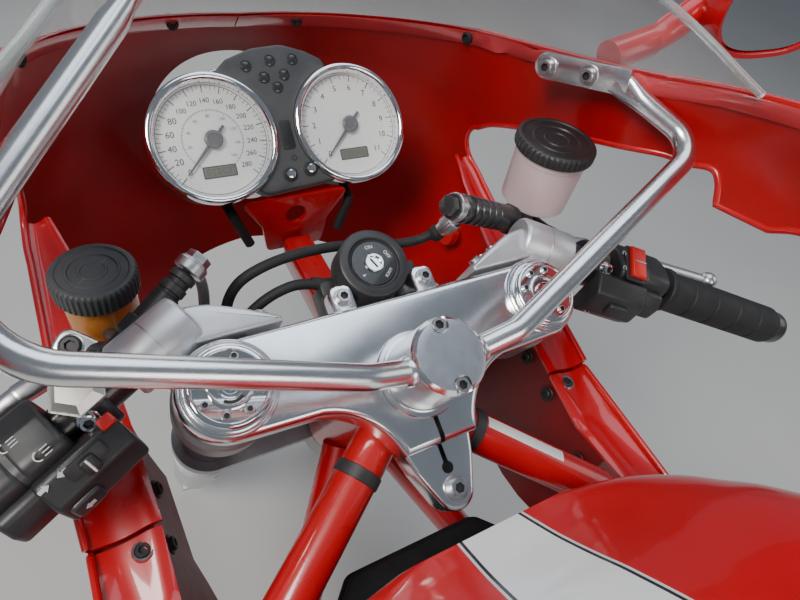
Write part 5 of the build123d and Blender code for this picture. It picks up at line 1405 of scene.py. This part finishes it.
def tank_material():
    """Red lacquer with a white stripe down the middle, edged by a black and a silver line."""
    mt = RED.copy()
    mt.name = "red_lacquer_striped"
    nt = mt.node_tree
    b = nt.nodes["Principled BSDF"]
    src = b.inputs["Base Color"].links[0].from_socket
    tc = nt.nodes.new("ShaderNodeTexCoord")
    sx = nt.nodes.new("ShaderNodeSeparateXYZ")
    nt.links.new(tc.outputs["Object"], sx.inputs[0])
    ab = nt.nodes.new("ShaderNodeMath")
    ab.operation = "ABSOLUTE"
    nt.links.new(sx.outputs["X"], ab.inputs[0])
    # the stripe widens a little towards the back
    wd = nt.nodes.new("ShaderNodeMath")
    wd.operation = "MULTIPLY_ADD"
    back = nt.nodes.new("ShaderNodeMath")
    back.operation = "MAXIMUM"
    nt.links.new(sx.outputs["Y"], back.inputs[0])
    back.inputs[1].default_value = 0.13
    nt.links.new(back.outputs[0], wd.inputs[0])
    wd.inputs[1].default_value, wd.inputs[2].default_value = 0.115, -0.0362
    ds = nt.nodes.new("ShaderNodeMath")
    ds.operation = "ADD"
    nt.links.new(ab.outputs[0], ds.inputs[0])
    nt.links.new(wd.outputs[0], ds.inputs[1])
    last = src
    for lim, colour in ((0.0135, (0.62, 0.63, 0.65, 1)), (0.0120, (0.015, 0.015, 0.016, 1)), (0.0102, (0.80, 0.80, 0.79, 1))):
        lt = nt.nodes.new("ShaderNodeMath")
        lt.operation = "LESS_THAN"
        nt.links.new(ds.outputs[0], lt.inputs[0])
        lt.inputs[1].default_value = lim
        mx = nt.nodes.new("ShaderNodeMix")
        mx.data_type = "RGBA"
        nt.links.new(lt.outputs[0], mx.inputs["Factor"])
        nt.links.new(last, mx.inputs["A"])
        mx.inputs["B"].default_value = colour
        last = mx.outputs["Result"]
    nt.links.new(last, b.inputs["Base Color"])
    return mt


tk = Shape()
rows = catmull([Vector(r) if len(r) < 4 else r for r in TANK], 1) if False else None
fine = []
P4 = [Vector((r[0], r[1], r[2], r[3])) for r in TANK]
fine = catmull(P4, 7)
rs = []
for v in fine:
    y, w, topz, bot = v
    h = topz - bot
    ctrl = [(w * 0.80, bot), (w * 0.90, bot + h * 0.05), (w * 0.985, bot + h * 0.30), (w, bot + h * 0.5), (w * 0.965, topz - h * 0.15), (w * 0.80, topz - h * 0.012), (w * 0.42, topz - h * 0.003), (0, topz)]
    half = catmull(ctrl, 5)
    ring = [at(p.x, y, p.y) for p in half] + [at(-p.x, y, p.y) for p in half[-2::-1]]
    rs.append(ring)
front = [at(0, -84, -46) + (p - at(0, -84, -46)) * 0.55 for p in rs[0]]
front = [Vector((p.x, at(0, -84.5, 0).y, p.z)) for p in front]
tk.rings([front] + rs, cap0=True, cap1=True)
fc = Shape()
fc.lathe(axes(at(0, -250, 20), VZ), [(0, 0), (38, 0), (38, 60), (0, 60)], 64)
TM = tank_material()
fc.brick(axes(at(0, 0, 0), VZ), (-18, -217, 54), (18, -201, 78), 0.0)
tk.done("tank_shell", "front_frame", [TM], "red_paint", ("fuel_tank",), 32, cuts=[fc.cutter()], self_cut=True)

fr = Shape()
FMt = axes(at(0, -250, 0), VZ)
fr.lathe(FMt, [(24, 14), (37.8, 14), (37.8, 56.6), (37.0, 57.8), (34.0, 58), (24, 58)], 80, 0, loop=True)
for s in (-1, 1):
    fr.brick(axes(at(0, 0, 0), VZ), (s * 12.5 - 3.5, -215, 55.5), (s * 12.5 + 3.5, -207, 62.8), 0.8)
    fr.tube([at(s * 9, -210, 62.5), at(s * 9.3, -210, 62.5), at(s * 15.7, -210, 62.5), at(s * 16, -210, 62.5)], [3.6, 4.0, 4.0, 3.6], 24)
fr.done("filler_ring_turned", "front_frame", [SATIN], "polished_aluminium", ("filler_ring",), 34)
fl = Shape()
fl.lathe(FMt, [(0, 58.5), (34.6, 58.5), (36, 59.8), (36, 64.8), (35.0, 66.1), (33.4, 66.5), (29.4, 66.5), (28.6, 65.6), (16.4, 65.6), (15.8, 66.3), (9.0, 66.3), (8.2, 65.0), (0, 65.0)], 96, 0)
for k in range(6):
    a = 2 * PI * (k + 0.5) / 6
    fl.bolt(FMt @ Matrix.Translation((22.4 * math.cos(a), 22.4 * math.sin(a), 65.6)), 2.8, 0.9, 1, 2)
fl.brick(axes(at(0, 0, 0), VZ), (-8, -219, 59.5), (8, -210, 65.5), 0.8)
fl.tube([at(-8, -210, 62.5), at(-7.7, -210, 62.5), at(7.7, -210, 62.5), at(8, -210, 62.5)], [3.6, 4.0, 4.0, 3.6], 24)
# near-black slot across the lid: painted shade
fl.brick(FMt, (-1.2, -5, 64.9), (1.2, 5, 65.25), 0.1, 2)
fl.done("filler_lid", "filler_cap", [POL, STEEL, DARK_RECESS_SHADE_AND_TRIM], "polished_aluminium", ("filler_cap",), 32)

# ------------------------------------------------------------------ air box
MATT = material("matt_black_box", (0.010, 0.010, 0.011), 0.72, vary=0.3, scale=50, bump=0.06, bump_scale=900, spec=0.25, dust=(0.05, 0.045, 0.04, 0.15))
ab = Shape()
BOX = axes(at(0, 0, 0), VZ)
yx = [(-75, -275), (75, -275), (75, -70), (52, -45), (-52, -45), (-75, -70)]
ab.prism(BOX, rounded(yx, [12, 12, 16, 10, 10, 16], 5), -198, -152, 6, 0, 4)
ab.prism(BOX, rounded([(x * 0.97, -160 + (y + 160) * 0.97) for x, y in yx], [12, 12, 16, 10, 10, 16], 5), -154, -144, 4, 0, 4)
for k in range(7):
    ab.brick(BOX, (-54 + 18 * k - 2, -255, -146), (-54 + 18 * k + 2, -75, -142), 1.4, 0)
for s in (-1, 1):
    for y in (-240, -160, -85):
        ab.brick(BOX, (s * 71 - 4, y - 7, -168), (s * 71 + 4, y + 7, -143.5), 1.4, 1)
ab.done("air_box_moulding", "front_frame", [MATT, BLACK], "black_plastic", ("airbox",), 34)

# ------------------------------------------------------------------ headlight
hd = Shape()
HM = axes(at(0, 360, -70), (0, 1, 0))
hd.lathe(HM, [(0, -70), (20, -70), (26, -66), (52, -40), (66, -12), (70, -6), (70, 0), (68, 1), (66.5, 0), (66, -3), (52, -26), (34, -40), (15, -46), (14, -40), (0, -38)], 72, 0)
hd.done("lamp_bowl", "front_frame", [CHROME], "polished_aluminium", ("headlight",), 30)
ln = Shape()
ln.lathe(HM, [(66, 1), (69.6, 1), (70, 2), (70, 9), (68, 13), (61, 19), (48, 22.6), (28, 24.4), (0, 25)], 72, 0)
ln.lathe(HM, [(0, 22.5), (28, 21.8), (47, 20), (59, 16.6), (65.4, 11.6), (66.5, 8), (66, 1)], 72, 0)
ln.done("lamp_lens_glass", "front_frame", [LENS], "lamp_glass", ("headlight_lens",), 40)

# ------------------------------------------------------------------ side panels and mirrors
PANEL = [(13, -104), (13, -176), (-30, -232), (-150, -258), (-196, -204), (-160, -150), (-95, -112), (-50, -108.5)]
for side, s in (("left", -1), ("right", 1)):
    sp = Shape()
    lp = rounded(PANEL, [3, 6, 24, 20, 20, 30, 20, 10], 6)
    xo = 196.4

    def px(y, z, inner):
        # gently crowned wall
        c = 2.0 * max(0, 1 - ((z + 180) / 90) ** 2)
        return (xo - 2.4 + c * 0.9 - (3.0 if inner else 0.0)) * s
    lo, hi = [at(px(y, z, 1), y, z) for y, z in lp], [at(px(y, z, 0), y, z) for y, z in lp]
    cen = (sum(p[0] for p in lp) / len(lp), sum(p[1] for p in lp) / len(lp))
    ringsets = []
    for inner, seq in ((1, (0.02, 0.25, 0.5, 0.75, 0.92, 1.0)), (0, (1.0, 0.92, 0.75, 0.5, 0.25, 0.02))):
        for q in seq:
            ringsets.append([at(px(cen[0] + (y - cen[0]) * q, cen[1] + (z - cen[1]) * q, inner), cen[0] + (y - cen[0]) * q, cen[1] + (z - cen[1]) * q) for y, z in lp])
    sp.rings(ringsets, cap0=True, cap1=True)
    # rolled lip along its outline
    loop = [at((xo - 3.4) * s, y, z) for y, z in lp]
    sp.tube(loop + [loop[0]], 2.4, 10, 0)
    prof = []
    for y, x0, z0, x1, z1 in [(lerp(13, -30, k / 6), 194.4, lerp(-107.5, -113, k / 6), 153, lerp(-102, -114, k / 6)) for k in range(7)] + [(lerp(-30, -90, k / 8), 194.4, lerp(-113, -116, k / 8), 153, lerp(-114, -108, k / 8)) for k in range(1, 9)]:
        up, dn = [], []
        for k in range(13):
            t = k / 12
            x = lerp(x0, x1, t)
            z = lerp(z0 + 3.2, z1 + 3.2, t) - 3.6 * math.sin(PI * min(1, t * 1.25))
            if t > 0.86:
                z -= 26 * (t - 0.86) ** 2 * 2
            up.append(at(s * x, y, z))
            dn.append(at(s * x, y, z - 2.6))
        prof.append(up + dn[::-1])
    sp.rings(prof, cap0=True, cap1=True)
    sp.done(side + "_lower_panel", "front_frame", [RED], "red_bodywork", (side + "_side_panel",), 34)
    sc = Shape()
    sc.bolt(axes(at(s * 166, 4, -104.4), (0, 0, 1)), 4.2, 2.6, 1, 1, washer=0)
    sc.lathe(axes(at(s * 166, 4, -105.6), (0, 0, 1)), [(6.6, 0), (6.6, 2.0), (6.0, 2.8), (5.0, 2.8), (4.3, 1.8)], 36, 0)
    sc.done(side + "_panel_screw", "front_frame", [SATIN, DARK_RECESS_SHADE_AND_TRIM], "steel", (), 40)

    mr = Shape()
    AX = fillet([at(s * 183, 116, 119), at(s * 226, 119, 128), at(s * 264, 121, 151)], 40, 8)
    mr.tube(AX, [11, 10.6] + [9.6] * (len(AX) - 4) + [10, 11], 24)
    rs = []
    MY = Matrix.Translation(at(s * 318, 0, 168)) @ Matrix.Scale(MM, 4)
    for y, k in ((92, 0.99), (94, 0.998), (98, 0.998), (106, 0.985), (114, 0.93), (121, 0.83), (126, 0.68), (129.2, 0.45), (130, 0.2)):
        a, b = 75 * k, 46 * k
        ring = []
        for i in range(56):
            t = 2 * PI * i / 56
            c, d = math.cos(t), math.sin(t)
            ex = 0.72
            ring.append(MY @ Vector((math.copysign(abs(c) ** ex, c) * a, y, math.copysign(abs(d) ** ex, d) * b)))
        rs.append(ring)
    inner = []
    for y, a, b in ((92.4, 71.5, 42.5), (98.4, 70.5, 41.5)):
        inner.append([MY @ Vector((math.copysign(abs(math.cos(2 * PI * i / 56)) ** 0.72, math.cos(2 * PI * i / 56)) * a, y, math.copysign(abs(math.sin(2 * PI * i / 56)) ** 0.72, math.sin(2 * PI * i / 56)) * b)) for i in range(56)])
    mr.rings(inner[::-1] + rs, cap0=True, cap1=True)
    mr.done(side + "_mirror_shell", "front_frame", [RED], "red_bodywork", (side + "_mirror",), 32)
mg = Shape()
for s in (-1, 1):
    MY = Matrix.Translation(at(s * 318, 0, 168)) @ Matrix.Scale(MM, 4)
    rs = []
    for y, k in ((97.8, 0.5), (97.8, 1.0), (95.4, 1.0), (94.4, 0.985), (94.4, 0.6), (94.4, 0.2)):
        rs.append([MY @ Vector((math.copysign(abs(math.cos(2 * PI * i / 56)) ** 0.72, math.cos(2 * PI * i / 56)) * 70.2 * k, y, math.copysign(abs(math.sin(2 * PI * i / 56)) ** 0.72, math.sin(2 * PI * i / 56)) * 41.2 * k)) for i in range(56)])
    mg.rings(rs, cap0=True, cap1=True)
mg.done("mirror_glass_sheets", "front_frame", [MIRROR], "mirror_glass", ("mirror_glasses",), 40)

# ------------------------------------------------------------------ bands, strip and lug washers on the frame
fb = Shape()
U0, U1 = {}, {}
for s in (-1, 1):
    U0, U1, U2 = yk(s * 16, -20, -50), at(s * 125, -79, -102), at(s * 118, -240, -250)
    d = (U1 - U0).normalized()
    for f in (0.24,):
        p = U0.lerp(U1, f)
        fb.tube([p - d * 0.004, p - d * 0.0036, p + d * 0.0036, p + d * 0.004], [14.3, 14.9, 14.9, 14.3], 32, 0)
fb.done("frame_bands", "front_frame", [BLACK], "black_plastic", (), 40)
st = Shape()
U0, U1 = yk(16, -20, -50), at(125, -79, -102)
d = (U1 - U0).normalized()
w = d.cross(VZ).normalized()
upn = w.cross(d)
rs = []
for k in range(25):
    t = k / 24
    p = U0.lerp(U1, 0.275 + 0.435 * t)
    ring = []
    for j in range(9):
        a = math.radians(-25 + 35 * j / 8)
        ring.append(p + (upn * math.cos(a) + w * math.sin(a)) * 0.01412)
    rs.append(ring)
st.rings(rs, closed=False)
st.done("blank_strip", "front_frame", [LABELW], "dial_face", (), 60, recalc=True)
lb = Shape()
for s in (-1, 1):
    for y, z in ((-HY, -HZ), (-98, -326)):
        M = axes(at(s * 130.1, y, z), (s, 0, 0), VZ)
        lb.lathe(M, [(11.4, 0), (11.4, 1.6), (10.8, 2.2), (6.4, 2.2), (6.4, -0.6)], 36, 0)
lb.done("lug_washers", "front_frame", [STEEL], "steel", (), 34)
